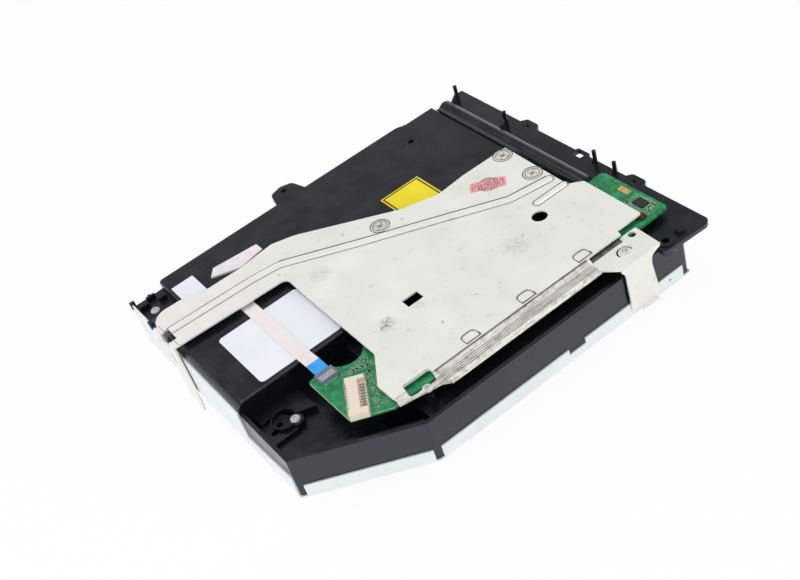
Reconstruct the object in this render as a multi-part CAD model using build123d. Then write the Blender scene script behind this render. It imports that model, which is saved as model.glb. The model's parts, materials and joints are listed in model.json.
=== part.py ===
"""Slot-loading optical drive of a games console, lying with its circuit board side up.

The housing is a black moulded chassis closed underneath by a folded steel cover.  A disc
enters through the slot at the +X end, is pulled in by the tapered feed roller and is held
between the turntable (above it, here) and the clamp puck in the cover (below it).

Frame: +X to the disc slot, +Y to the back edge, +Z to the circuit board side.  The origin
lies on the outside face of the cover, under the middle of the housing.  Millimetres.
"""
from build123d import *
import math
import os

os.makedirs("parts", exist_ok=True)

# Disc
DISC_DIA = 120.0
DISC_THICK = 1.2
DISC_BORE = 15.0
SPINDLE_X = 18.0
SPINDLE_Y = 2.0

# Housing in plan
WALL_LEFT = -98.0
WALL_RIGHT = 88.0
FRONT_MARGIN = 24.0
REAR_MARGIN = 21.0
WALL_FRONT = SPINDLE_Y - DISC_DIA / 2 - FRONT_MARGIN
WALL_REAR = SPINDLE_Y + DISC_DIA / 2 + REAR_MARGIN
DIAGONAL_LEFT_Y = -54.5
DIAGONAL_FRONT_X = -48.5
STEP_Y = -17.6
STEP_X = -45.0
HOOK_ZONE_X = -82.5
HOOK_ZONE_Y = 62.0
BAND_RIGHT = 100.0
BAND_OVERHANG = 2.5
BAND_FRONT_X = 74.0
BAND_CORNER = 3.0
EYE_Y = -6.0

# Housing heights above the outside of the cover
COVER_THICK = 0.7
COVER_FLANGE = 6.5
SIDE_FLANGE = 22.0
SIDE_FLANGE_REAR = 23.6
RIM_TOP = 21.4
BAND_TOP = 22.0
BAND_THICK = 2.0
PANEL_TOP = 26.0
BOARD_FLOOR_TOP = 19.0
WELL_FLOOR_TOP = 12.0
HOOK_ZONE_TOP = 21.0
CHASSIS_WALL = 1.8
PANEL_EDGE_RADIUS = 4.0

# Disc path
DISC_LOW_Z = 6.5
SLOT_HEIGHT = 5.4
SLOT_CLEAR_Y = 2.0

# Steel brackets
BRACKET_THICK = 0.8
BRACKET_GAP = 2.5
LEG_DROP = 42.0
LEG_CLEAR = 0.7

# Circuit board
BOARD_THICK = 1.2
BOARD_TOP = 26.2
BOARD_POST_DIA = 5.0
SCREW_POST_DIA = 4.1

# Fasteners
SCREW_HEAD_DIA = 4.4
SCREW_HEAD_THICK = 1.1
SCREW_DIA = 2.0
SCREW_LENGTH = 5.0

# Running clearances
FIT = 0.05
RUNNING_GAP = 0.3

# Traverse
TRAVERSE_LIFT_DEG = 2.65
TRAVERSE_PIVOT_X = -78.0
TRAVERSE_PIVOT_Z = 14.3
FRAME_LOW = 11.4
FRAME_THICK = 5.4
ROD_DIA = 2.6
HINGE_PIN_DIA = 2.6
PIVOT_POST = 3.4
LEAD_SCREW_DIA = 3.0
LEAD_SCREW_PITCH = 3.0
SLED_TRAVEL = 34.0
TURNTABLE_DIA = 28.0
ROTOR_DIA = 25.0
ROTOR_HOLE_DIA = ROTOR_DIA + 2.0
LENS_RADIUS_MIN = ROTOR_HOLE_DIA / 2 + 10.5

# Feed roller and its gears
ROLLER_X = 81.5
ROLLER_END_RADIUS = 4.0
ROLLER_WAIST_RADIUS = 2.8
ROLLER_REST_Z = 13.5
ROLLER_RELIEF = 0.6
ROLLER_SHAFT_DIA = 3.0
GEAR_MODULE = 0.6
ROLLER_TEETH = 14
IDLER_TEETH = 24
PINION_TEETH = 10
WHEEL_TEETH = 18
WORM_RADIUS = 2.2
GEAR_PIN_DIA = 2.0
GEAR_WIDTH = 4.0
TOOTH_CLEAR = 0.12

# Cam slide
CAM_TRAVEL = 12.0
CAM_THICK = 2.5

# Disc levers
LEVER_THICK = 1.1
LEVER_PEG_DIA = 3.0

# Derived heights
CHASSIS_BOTTOM = COVER_THICK
PANEL_UNDER = PANEL_TOP - CHASSIS_WALL
BOARD_FLOOR_UNDER = BOARD_FLOOR_TOP - CHASSIS_WALL
WELL_FLOOR_UNDER = WELL_FLOOR_TOP - CHASSIS_WALL
BRACKET_UNDER = PANEL_TOP + BRACKET_GAP
BRACKET_TOP = BRACKET_UNDER + BRACKET_THICK
BOARD_UNDER = BOARD_TOP - BOARD_THICK
DISC_HIGH_Z = DISC_LOW_Z + DISC_THICK


# Shape helpers
def block(x0, x1, y0, y1, z0, z1):
    """A block between two corners."""
    return Pos((x0 + x1) / 2, (y0 + y1) / 2, (z0 + z1) / 2) * Box(x1 - x0, y1 - y0, z1 - z0)


def prism(points, z0, z1, radius=0.0):
    """An upright prism on a closed outline, with one radius or a radius for each corner."""
    radii = list(radius) if isinstance(radius, (list, tuple)) else [radius] * len(points)
    if max(radii) > 0:
        outline = FilletPolyline(*points, radius=radii, close=True)
    else:
        outline = Polyline(*points, close=True)
    return Pos(0, 0, z0) * extrude(make_face(outline), z1 - z0)


def disc_z(x, y, z0, z1, dia):
    """An upright cylinder."""
    return Pos(x, y, (z0 + z1) / 2) * Cylinder(dia / 2, z1 - z0)


def rod_x(x0, x1, y, z, dia):
    """A cylinder along X."""
    return Pos((x0 + x1) / 2, y, z) * Rot(0, 90, 0) * Cylinder(dia / 2, x1 - x0)


def rod_y(y0, y1, x, z, dia):
    """A cylinder along Y."""
    return Pos(x, (y0 + y1) / 2, z) * Rot(90, 0, 0) * Cylinder(dia / 2, y1 - y0)


def slab_xz(face, y0, y1):
    """A face drawn in x and z, made solid from y0 to y1."""
    return extrude(Plane.XZ.offset(-y1) * face, y1 - y0)


def slab_yz(face, x0, x1):
    """A face drawn in y and z, made solid from x0 to x1."""
    return extrude(Plane.YZ.offset(x0) * face, x1 - x0)


def arm_face(start, end, width):
    """A straight arm with round ends, flat in its own two coordinates."""
    face = trace(Line(start, end), width)
    return face + Pos(*start) * Circle(width / 2) + Pos(*end) * Circle(width / 2)


def save(name, *solids):
    """Write one node; each given solid stays a separate solid in it."""
    flat = []
    for solid in solids:
        flat.extend(solid.solids())
    shape = flat[0] if len(flat) == 1 else Compound(children=flat)
    export_step(shape, f"parts/{name}.step")


def screw(x, y, seat_z, dia=SCREW_HEAD_DIA, up=True):
    """A pan head screw with a cross recess, its head on a seat that faces up or down."""
    head = Cylinder(dia / 2, SCREW_HEAD_THICK, align=(Align.CENTER, Align.CENTER, Align.MIN))
    head = chamfer(head.edges().group_by(Axis.Z)[-1], SCREW_HEAD_THICK * 0.4)
    slot_size = dia * 0.5
    slot_depth = SCREW_HEAD_THICK * 0.5
    for turn in (0, 90):
        slot = Rot(0, 0, turn) * Box(slot_size, dia * 0.14, slot_depth * 2)
        head = head - Pos(0, 0, SCREW_HEAD_THICK) * slot
    shank = Cylinder(SCREW_DIA / 2, SCREW_LENGTH, align=(Align.CENTER, Align.CENTER, Align.MAX))
    whole = head + shank
    turn_over = Rot(0, 0, 0) if up else Rot(180, 0, 0)
    return Pos(x, y, seat_z) * turn_over * whole


def gear_face(teeth, module, bore):
    """The face of a spur gear with straight-flanked stub teeth that run clear of their mates."""
    pitch_radius = teeth * module / 2
    tip = pitch_radius - TOOTH_CLEAR
    root = pitch_radius - 1.6 * module
    step = 2 * math.pi / teeth
    corners = []
    for tooth in range(teeth):
        middle = tooth * step
        for radius, share in ((root, -0.34), (tip, -0.13), (tip, 0.13), (root, 0.34)):
            angle = middle + share * step
            corners.append((radius * math.cos(angle), radius * math.sin(angle)))
    face = make_face(Polyline(*corners, close=True))
    return face - Circle(bore / 2)


def gear_y(teeth, x, y0, y1, z, bore, turn=0.0):
    """A spur gear whose axle runs along Y."""
    face = Pos(x, z) * Rot(0, 0, turn) * gear_face(teeth, GEAR_MODULE, bore)
    return slab_xz(face, y0, y1)


# Chassis outline, used by the walls, the cavities and the cover
def housing_outline(inset):
    """The plan of the housing walls, moved inwards by inset."""
    run_x = DIAGONAL_FRONT_X - WALL_LEFT
    run_y = DIAGONAL_LEFT_Y - WALL_FRONT
    slant = math.hypot(run_x, run_y)
    corner_up = inset * (slant - run_x) / run_y if inset else 0.0
    left_y = DIAGONAL_LEFT_Y + inset * (slant - run_y) / run_x
    front_x = DIAGONAL_FRONT_X + corner_up
    return [
        (WALL_LEFT + inset, left_y),
        (front_x, WALL_FRONT + inset),
        (WALL_RIGHT - inset, WALL_FRONT + inset),
        (WALL_RIGHT - inset, WALL_REAR - inset),
        (WALL_LEFT + inset, WALL_REAR - inset),
    ]


BOARD_SCREWS = [(-39.8, -72.8), (61.0, -76.4)]
BOARD_POSTS = [(84.0, -36.0), (-42.0, -40.0), (20.0, -40.0), (20.0, -66.0)]
CASE_SCREWS = [(-81.4, -32.2), (-92.0, 71.4)]
CASE_SCREW_SEATS = [WELL_FLOOR_TOP + 3.0, HOOK_ZONE_TOP]
SEATS = [(5.3, 22.2), (71.7, 15.0), (71.3, -6.7), (54.0, 4.0)]
SEAT_DIA = 9.0
SEAT_MARK_DEPTH = 0.3
LUG_HOLES = [(99.0, 31.7), (98.7, -41.0)]
LUG_BORE = 2.6
LUG_REACH = 4.0
LUG_ROOT = 8.5
EAR = (79.3, WALL_FRONT + 1.7)
EAR_BORE = 3.2
EAR_RADIUS = 3.9
EAR_RISE = 0.4
REAR_LUG = (-7.0, WALL_REAR + 6.0)
REAR_LUG_BORE = 3.2
RIDGE_X = 83.0
RIDGE_RADIUS = 4.2
RIDGE_TOP = 29.0
RIDGE_FRONT = -29.0
RIDGE_REAR = 75.0
BAND_PINS = [(93.5, 79.0, 8.6, 5.5), (93.5, 40.0, 8.6, 5.5), (98.9, -16.8, 6.5, 2.0),
             (98.4, -30.4, 6.5, 2.0)]
BAND_PIN_DIA = 2.0
SIDE_HOOKS = [(60.8, 63.6, 24.4), (81.2, 82.9, 24.4), (52.4, 55.6, 20.6)]
SIDE_HOOK_DROP = 3.4
PANEL_PIT = (54.9, 66.4)
PILOT_DIA = SCREW_DIA + 2 * FIT
WELL_LEDGE = 3.4

# Cover screws sit in dimples: place and the chassis ceiling above each boss
COVER_SCREWS = [
    (-90.0, WALL_REAR - 6.5, HOOK_ZONE_TOP - CHASSIS_WALL),
    (81.5, WALL_FRONT + 6.5, BOARD_FLOOR_UNDER),
    (-90.0, DIAGONAL_LEFT_Y + 5.5, WELL_FLOOR_UNDER),
    (81.5, WALL_REAR - 6.5, BAND_TOP - BAND_THICK),
]
COVER_BOSS_DIA = 5.0
DIMPLE_DIA = 8.4
DIMPLE_DEPTH = SCREW_HEAD_THICK + 0.1
BOSS_BOTTOM = DIMPLE_DEPTH + COVER_THICK

# Clamp
DISH_DIA = 28.0
DISH_DEPTH = 2.0
PUCK_DIA = 32.0
PUCK_STEM_DIA = 12.0
PUCK_TOP = DISC_LOW_Z - RUNNING_GAP
PUCK_LOW = DISH_DEPTH + RUNNING_GAP
HUB_HEIGHT = 3.0

# Slot guide under the roller
GUIDE_LEFT = 76.0
GUIDE_RIGHT = 86.0
GUIDE_TOP = DISC_LOW_Z - RUNNING_GAP

# Bracket places
LEG_OUTER_X = WALL_LEFT - COVER_THICK - LEG_CLEAR - BRACKET_THICK
LEG_FRONT_Y = 31.0
LEG_REAR_Y = 50.0
SEAM_TABS_X = (47.2, 16.8, -12.2)
SEAM_TAB_HALF = 3.7
SEAM_TAB_ROOT = -68.2
STRIP_LEFT = -52.5
STRIP_RIGHT = 48.0
STRIP_CUT_Y = -70.9
SEAM_WINDOW = [(-46.8, -65.6), (-33.6, -65.9), (-34.4, -71.9), (-47.2, -71.2)]
CLIP_TOP = BOARD_TOP + BRACKET_THICK

# Gear places: the roller carrier swings about the idler
ROLLER_ARM = GEAR_MODULE * (ROLLER_TEETH + IDLER_TEETH) / 2
IDLER_X = ROLLER_X - ROLLER_ARM
IDLER_Z = ROLLER_REST_Z
WHEEL_ARM = GEAR_MODULE * (IDLER_TEETH + PINION_TEETH) / 2
WHEEL_DROP_DEG = 15.0
WHEEL_X = IDLER_X - WHEEL_ARM * math.cos(math.radians(WHEEL_DROP_DEG))
WHEEL_Z = IDLER_Z - WHEEL_ARM * math.sin(math.radians(WHEEL_DROP_DEG))
WORM_Z = WHEEL_Z + GEAR_MODULE * WHEEL_TEETH / 2 + WORM_RADIUS + 0.25
ROLLER_HALF = DISC_DIA / 2 - 1.0
CARRIER_PLATE = 1.0
ARM_REAR_Y = SPINDLE_Y + ROLLER_HALF + 1.2
GEAR_Y = ARM_REAR_Y + CARRIER_PLATE + RUNNING_GAP
WHEEL_Y = GEAR_Y + GEAR_WIDTH + 0.8
GEAR_RIB_Y = WHEEL_Y + GEAR_WIDTH + RUNNING_GAP
GEAR_RIB_THICK = 1.4
ARM_FRONT_Y = SPINDLE_Y - ROLLER_HALF - 1.2 - CARRIER_PLATE

MOTOR_LEFT = 25.0
MOTOR_RIGHT = 50.0
MOTOR_DIA = 12.0
WORM_Y = WHEEL_Y + GEAR_WIDTH / 2

# Lever places
LEVER_PIN_DIA = 3.0
LEVER_Z = DISC_HIGH_Z + 0.5
LEVER_REAR = (SPINDLE_X - 55.0, 54.0)
LEVER_FRONT = (SPINDLE_X - 53.5, -50.0)
LEVER_PEG_X = SPINDLE_X - 56.5
LEVER_PEG_Y = 28.0

# Traverse places
TRAVERSE_RIGHT = SPINDLE_X + 26.0
WINDOW_RIGHT = SPINDLE_X - ROTOR_HOLE_DIA / 2 - 1.5
TRAVERSE_LEFT = -70.0
TRAVERSE_FRONT = -15.0
TRAVERSE_REAR = 46.0
TONGUE_FRONT = -6.0
TONGUE_REAR = 20.0
FRAME_TOP = FRAME_LOW + FRAME_THICK
SLED_FRONT = -10.0
SLED_REAR = 27.0
ROD_FRONT_Y = -7.0
ROD_REAR_Y = 22.0
ROD_Z = 13.0
LEAD_Y = 32.5
CAM_X = TRAVERSE_RIGHT + 1.4
CAM_PIN_DIA = 3.0
CAM_PINS_Y = (8.0, 34.0)
CAM_LOW = 9.6
CAM_HIGH = 21.8
LENS_X = SPINDLE_X - LENS_RADIUS_MIN
SLED_LOW = DISC_HIGH_Z + 1.9
SLED_HIGH = ROD_Z + 2.6
ROTOR_TOP = DISC_HIGH_Z + 7.5
CAP_TOP = DISH_DEPTH - COVER_THICK - RUNNING_GAP

# Board places
RIBBON_X = -62.8
RIBBON_WIDTH = 6.4
RIBBON_REAR = 46.0
RIBBON_FRONT = -31.5
STIFFENER_LENGTH = 7.6
LABEL_THICK = 0.12
CONNECTOR_PLACE = (-61.5, -55.0)
CONNECTOR_TURN = 61.0
CONNECTOR_LENGTH = 21.0
CONNECTOR_HEIGHT = 3.1
CONNECTOR_WAYS = 9
SMALL_COMPONENTS = [(-50.5, -40.5), (-47.5, -38.5), (-48.5, -44.0), (-51.0, -48.0),
                    (-53.5, -52.5), (-55.5, -57.0), (-58.0, -62.0), (-56.5, -65.5),
                    (90.0, -39.7), (84.0, -33.5), (87.5, -53.0), (90.5, -63.5), (86.5, -65.5),
                    (82.5, -66.0)]


def make_chassis():
    """The moulded housing: panel, board floor, well, walls, slot band, ridge, lugs and bosses."""
    walls = prism(housing_outline(0), CHASSIS_BOTTOM, RIM_TOP, [0, 0, 2.0, 1.0, 0])
    panel_points = [
        (WALL_LEFT, STEP_Y), (RIDGE_X - RIDGE_RADIUS, STEP_Y),
        (RIDGE_X - RIDGE_RADIUS, WALL_REAR - 2.0), (62.0, WALL_REAR - 2.0),
        (57.0, WALL_REAR), (HOOK_ZONE_X, WALL_REAR), (HOOK_ZONE_X, HOOK_ZONE_Y),
        (WALL_LEFT, HOOK_ZONE_Y),
    ]
    panel = prism(panel_points, RIM_TOP - 2.0, PANEL_TOP, [0, 0, 0, 3, 3, 2, 2, 0])
    left_edge = panel.edges().filter_by(Axis.Y).group_by(Axis.Z)[-1].sort_by(Axis.X)[0]
    panel = fillet(left_edge, PANEL_EDGE_RADIUS)
    rest = panel.edges().group_by(Axis.Z)[-1].filter_by(lambda e: e.length > 3.0)
    panel = fillet(rest.sort_by(Axis.X)[2:], 0.8)
    band_points = [
        (BAND_FRONT_X, WALL_FRONT - 3.0), (BAND_FRONT_X, STEP_Y), (RIDGE_X, STEP_Y),
        (RIDGE_X, WALL_REAR - 2.0), (BAND_RIGHT - 2 * BAND_CORNER, WALL_REAR - 2.0),
        (BAND_RIGHT - BAND_CORNER, WALL_REAR + BAND_CORNER / 2),
        (BAND_RIGHT, WALL_REAR + BAND_CORNER / 2), (BAND_RIGHT, WALL_FRONT - BAND_OVERHANG),
        (BAND_RIGHT - BAND_CORNER, WALL_FRONT - BAND_OVERHANG - BAND_CORNER / 2),
    ]
    band = prism(band_points, BAND_TOP - BAND_THICK, BAND_TOP, [2, 0, 0, 0, 1, 1, 1, 3, 3])
    ridge_axis = RIDGE_TOP - RIDGE_RADIUS
    ridge = rod_y(RIDGE_FRONT, RIDGE_REAR, RIDGE_X, ridge_axis, 2 * RIDGE_RADIUS)
    ridge = ridge + block(RIDGE_X - RIDGE_RADIUS, RIDGE_X + RIDGE_RADIUS, RIDGE_FRONT,
                          RIDGE_REAR, BAND_TOP - BAND_THICK, ridge_axis)
    body = walls + panel + band + ridge

    # Lugs that stand out past the band, and the ear at the front corner
    lug_z = BAND_TOP - BAND_THICK
    for hole_x, hole_y in LUG_HOLES:
        root_x = BAND_RIGHT - 4.0
        tip_x = hole_x + LUG_REACH
        lug = prism([(root_x, hole_y - LUG_ROOT), (hole_x + 1.0, hole_y - LUG_REACH - 2.0),
                     (tip_x, hole_y - LUG_REACH), (tip_x, hole_y + LUG_REACH),
                     (hole_x + 1.0, hole_y + LUG_REACH + 2.0), (root_x, hole_y + LUG_ROOT)],
                    lug_z, BAND_TOP, [0, 2, 2, 2, 2, 0])
        body = body + lug
    eye = prism([(BAND_RIGHT - 1.0, EYE_Y - 5.6), (BAND_RIGHT + 1.6, EYE_Y - 4.0),
                 (BAND_RIGHT + 1.6, EYE_Y + 3.4), (BAND_RIGHT - 1.0, EYE_Y + 4.8)], lug_z, BAND_TOP,
                [0, 1, 1, 0])
    eye_hole = prism([(BAND_RIGHT - 3.2, EYE_Y - 2.6), (BAND_RIGHT + 0.6, EYE_Y - 2.6),
                      (BAND_RIGHT + 0.6, EYE_Y + 2.6), (BAND_RIGHT - 3.2, EYE_Y + 2.6)], lug_z - 1,
                     BAND_TOP + 1, 0.8)
    body = body + eye - eye_hole
    ear = disc_z(EAR[0], EAR[1], BAND_TOP - 5.0, BAND_TOP + EAR_RISE, 2 * EAR_RADIUS)
    body = body + ear + block(EAR[0] + 6.2, EAR[0] + 9.6, EAR[1] - 2.0, EAR[1] + 1.2,
                              BAND_TOP - 0.5, BAND_TOP + 1.4)
    rear_lug = prism([(REAR_LUG[0] - 8.5, WALL_REAR - 1), (REAR_LUG[0] - 6.2, REAR_LUG[1] + 2.5),
                      (REAR_LUG[0], REAR_LUG[1] + 4.5), (REAR_LUG[0] + 6.0, REAR_LUG[1] + 2.5),
                      (REAR_LUG[0] + 8.4, WALL_REAR - 1)], PANEL_TOP - 3.0, PANEL_TOP, [0, 3, 2, 3, 0])
    body = body + rear_lug

    # Wells cut from the top: board tray and corner well
    tray_edge = CHASSIS_WALL
    board_well = block(STEP_X, WALL_RIGHT - tray_edge, WALL_FRONT + tray_edge, STEP_Y,
                       BOARD_FLOOR_TOP, BAND_TOP - BAND_THICK)
    inner = housing_outline(tray_edge)
    board_well = board_well + block(STEP_X, BAND_FRONT_X, WALL_FRONT + tray_edge, STEP_Y,
                                    BOARD_FLOOR_TOP, PANEL_TOP)
    corner_well = prism([(inner[0][0], inner[0][1]), (inner[1][0], inner[1][1]),
                         (STEP_X + 0.01, inner[1][1]), (STEP_X + 0.01, STEP_Y),
                         (inner[0][0], STEP_Y)], WELL_FLOOR_TOP, PANEL_TOP)
    body = body - board_well - corner_well
    hook_well = block(WALL_LEFT - 1, HOOK_ZONE_X, HOOK_ZONE_Y, WALL_REAR + 1, HOOK_ZONE_TOP,
                      PANEL_TOP + 1)
    body = body - hook_well

    # Cavities from below
    w = CHASSIS_WALL
    cavity_panel = block(WALL_LEFT + w, WALL_RIGHT - w, STEP_Y + w, WALL_REAR - w,
                         CHASSIS_BOTTOM - 1, BAND_TOP - BAND_THICK)
    cavity_panel = cavity_panel + block(HOOK_ZONE_X + w, RIDGE_X - RIDGE_RADIUS - w + 1.0,
                                        STEP_Y + w, WALL_REAR - 2.0 - w,
                                        BAND_TOP - BAND_THICK - 1, PANEL_UNDER)
    cavity_panel = cavity_panel + block(WALL_LEFT + w, HOOK_ZONE_X + w + 1, STEP_Y + w,
                                        HOOK_ZONE_Y - w, CHASSIS_BOTTOM, PANEL_UNDER - 2.2)
    cavity_hook = block(WALL_LEFT + w, HOOK_ZONE_X + w, HOOK_ZONE_Y - w, WALL_REAR - w,
                        HOOK_ZONE_TOP - w, BAND_TOP)
    cavity_board = block(STEP_X + w, WALL_RIGHT - w, WALL_FRONT + w, STEP_Y + w + 0.01,
                         CHASSIS_BOTTOM - 1, BOARD_FLOOR_UNDER)
    cavity_board = cavity_board + block(ROLLER_X - ROLLER_END_RADIUS - 1.0, WALL_RIGHT - w,
                                        WALL_FRONT + w, STEP_Y, BOARD_FLOOR_UNDER - 1,
                                        BOARD_FLOOR_UNDER + ROLLER_RELIEF)
    cavity_well = prism([(inner[0][0], inner[0][1]), (inner[1][0], inner[1][1]),
                         (STEP_X + w + 0.01, inner[1][1]), (STEP_X + w + 0.01, STEP_Y + w + 0.01),
                         (inner[0][0], STEP_Y + w + 0.01)], CHASSIS_BOTTOM - 1,
                        WELL_FLOOR_UNDER)
    cavity_panel = cavity_panel - cavity_hook
    ridge_hollow = rod_y(RIDGE_FRONT + w, RIDGE_REAR - w, RIDGE_X, ridge_axis,
                         2 * (RIDGE_RADIUS - w))
    ridge_hollow = ridge_hollow + block(RIDGE_X - RIDGE_RADIUS + w, RIDGE_X + RIDGE_RADIUS - w,
                                        RIDGE_FRONT + w, RIDGE_REAR - w,
                                        BAND_TOP - BAND_THICK - 1, ridge_axis)
    body = body - cavity_panel - cavity_board - cavity_well - ridge_hollow

    # Disc slot in the right wall
    slot_half = DISC_DIA / 2 + SLOT_CLEAR_Y
    slot_mid = (DISC_LOW_Z + DISC_HIGH_Z) / 2
    body = body - block(WALL_RIGHT - w - 1, WALL_RIGHT + 1, SPINDLE_Y - slot_half,
                        SPINDLE_Y + slot_half, slot_mid - SLOT_HEIGHT / 2,
                        slot_mid + SLOT_HEIGHT / 2)

    # Board posts, case screw bosses and bearing blocks
    for x, y in BOARD_POSTS:
        body = body + disc_z(x, y, BOARD_FLOOR_TOP - 0.5, BOARD_UNDER, BOARD_POST_DIA)
    for x, y in BOARD_SCREWS:
        body = body + disc_z(x, y, BOARD_FLOOR_TOP - 0.5, BOARD_TOP, SCREW_POST_DIA)
    for boss in case_screw_bosses():
        body = body + boss
    body = body + disc_z(*CASE_SCREWS[1], HOOK_ZONE_TOP - 6.5, HOOK_ZONE_TOP - 0.5,
                         COVER_BOSS_DIA)
    well_boss = disc_z(*CASE_SCREWS[0], WELL_FLOOR_TOP - 3.5, WELL_FLOOR_TOP + 3.0, 7.0)
    pad = prism([(-94.2, STEP_Y + 0.5), (-93.1, -24.4), (-84.0, -23.2), (-80.5, -24.7),
                 (-79.3, -29.7), (-71.3, -32.9), (-71.6, STEP_Y + 0.5)], WELL_FLOOR_TOP - 0.5,
                WELL_FLOOR_TOP + 3.5)
    shelf = prism([(-95.0, -24.0), (-84.0, -24.0), (-80.0, -30.0), (-83.0, -36.5), (-95.0, -36.5)],
                  WELL_FLOOR_TOP - 0.5, WELL_FLOOR_TOP + 2.0)
    for x, y in ((-87.4, -28.6), (-91.4, -30.8)):
        shelf = shelf - disc_z(x, y, WELL_FLOOR_TOP, WELL_FLOOR_TOP + 3, 2.8)
    curb = disc_z(-84.8, -28.7, WELL_FLOOR_TOP - 0.5, WELL_FLOOR_TOP + 3.8, 11.6)
    curb = curb - disc_z(-84.8, -28.7, WELL_FLOOR_TOP - 1, WELL_FLOOR_TOP + 5, 10.4)
    outer_edge = housing_outline(tray_edge)
    inner_edge = housing_outline(tray_edge + WELL_LEDGE)
    ledge = prism([outer_edge[0], outer_edge[1], inner_edge[1], inner_edge[0]],
                  WELL_FLOOR_TOP - 0.5, RIM_TOP - 2.6)
    head_room = disc_z(*CASE_SCREWS[0], CASE_SCREW_SEATS[0], CASE_SCREW_SEATS[0] + 3,
                       SCREW_HEAD_DIA + 1.0)
    body = body + well_boss + (pad + shelf + curb - head_room) + ledge
    post_front = TONGUE_FRONT - RUNNING_GAP
    post_rear = TONGUE_REAR + RUNNING_GAP
    for y0, y1 in ((post_front - PIVOT_POST, post_front), (post_rear, post_rear + PIVOT_POST)):
        post = block(TRAVERSE_PIVOT_X - 3.0, TRAVERSE_PIVOT_X + 3.0, y0, y1,
                     TRAVERSE_PIVOT_Z - 3.0, PANEL_UNDER - 1.5)
        body = body + post
    body = body - rod_y(post_front - PIVOT_POST + 0.8, post_rear + PIVOT_POST - 0.8,
                        TRAVERSE_PIVOT_X, TRAVERSE_PIVOT_Z, HINGE_PIN_DIA + 2 * FIT)

    # Rib and pins that carry the gears, and the pin at the other end of the roller carrier
    rib = block(WHEEL_X - 4.0, IDLER_X + 4.5, GEAR_RIB_Y, GEAR_RIB_Y + GEAR_RIB_THICK,
                WHEEL_Z - 3.0, PANEL_UNDER + 0.5)
    body = body + rib
    body = body + rod_y(ARM_REAR_Y - 0.6, GEAR_RIB_Y + 0.5, IDLER_X, IDLER_Z, GEAR_PIN_DIA)
    body = body + rod_y(GEAR_Y - 0.2, GEAR_RIB_Y + 0.5, WHEEL_X, WHEEL_Z, GEAR_PIN_DIA)
    ear_y = ARM_FRONT_Y - RUNNING_GAP
    body = body + block(IDLER_X - 3.0, IDLER_X + 3.0, ear_y - 2.0, ear_y, IDLER_Z - 3.0,
                        BOARD_FLOOR_UNDER + 0.5)
    body = body + rod_y(ear_y - 1.0, ARM_FRONT_Y + CARRIER_PLATE + 0.6, IDLER_X, IDLER_Z,
                        GEAR_PIN_DIA)

    # Lever posts with a reduced pin
    for x, y, roof in ((*LEVER_REAR, PANEL_UNDER), (*LEVER_FRONT, BOARD_FLOOR_UNDER)):
        body = body + disc_z(x, y, LEVER_Z + LEVER_THICK + RUNNING_GAP, roof + 0.5, 6.0)
        body = body + disc_z(x, y, LEVER_Z - 0.6, roof, LEVER_PIN_DIA)

    # Screw pilot holes
    for x, y in BOARD_SCREWS:
        body = body - disc_z(x, y, CLIP_TOP - SCREW_LENGTH - 0.5, CLIP_TOP + 1, PILOT_DIA)
    for (x, y), seat in zip(CASE_SCREWS, CASE_SCREW_SEATS):
        body = body - disc_z(x, y, seat - SCREW_LENGTH - 0.5, seat + 1, PILOT_DIA)

    # Mounting holes
    for hole_x, hole_y in LUG_HOLES:
        body = body - disc_z(hole_x, hole_y, lug_z - 1, BAND_TOP + 1, LUG_BORE)
    body = body - disc_z(EAR[0], EAR[1], BAND_TOP - 5.0, BAND_TOP + 2, EAR_BORE)
    body = body - disc_z(REAR_LUG[0], REAR_LUG[1], PANEL_TOP - 4, PANEL_TOP + 1, REAR_LUG_BORE)

    # Locating pins on the band, each with a gusset towards the ridge
    for x, y, height, gusset in BAND_PINS:
        body = body + disc_z(x, y, BAND_TOP - 0.5, BAND_TOP + height, BAND_PIN_DIA)
        web = BAND_PIN_DIA * 0.6
        fin = make_face(Polyline((x, BAND_TOP - 0.5), (x, BAND_TOP + height * 0.6),
                                 (x - gusset, BAND_TOP - 0.5), close=True))
        body = body + slab_xz(fin, y - web / 2, y + web / 2)

    # Hooks that reach over the tall side flange of the cover, and posts in the hook zone
    for hook in side_hooks(0.0):
        body = body + hook
    for x, y, size in ((-94.6, 77.0, 2.6), (-89.4, 80.6, 2.2), (-85.6, 75.4, 2.0)):
        body = body + block(x - size, x + size, y - 0.6, y + 0.6, HOOK_ZONE_TOP - 0.5,
                            HOOK_ZONE_TOP + 2.2)
        body = body + block(x - 0.6, x + 0.6, y - size / 2, y + size, HOOK_ZONE_TOP - 0.5,
                            HOOK_ZONE_TOP + 1.6)
    return body - disc_z(*PANEL_PIT, PANEL_TOP - 1.2, PANEL_TOP + 1, 3.0)


def side_hooks(gap):
    """The black hooks on the left wall, grown by gap on each side."""
    hooks = []
    for y0, y1, top in SIDE_HOOKS:
        low = top - SIDE_HOOK_DROP
        hooks.append(block(WALL_LEFT - COVER_THICK - 0.5 - gap, WALL_LEFT + 1.2, y0 - gap, y1 + gap,
                           low - gap, top + gap))
    return hooks


def case_screw_bosses():
    """Bosses inside the chassis for the four screws that hold the cover."""
    bosses = []
    for x, y, roof in COVER_SCREWS:
        boss = disc_z(x, y, BOSS_BOTTOM, roof + 0.5, COVER_BOSS_DIA)
        hole = disc_z(x, y, BOSS_BOTTOM - 1, BOSS_BOTTOM + SCREW_LENGTH, PILOT_DIA)
        bosses.append(boss - hole)
    return bosses


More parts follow.
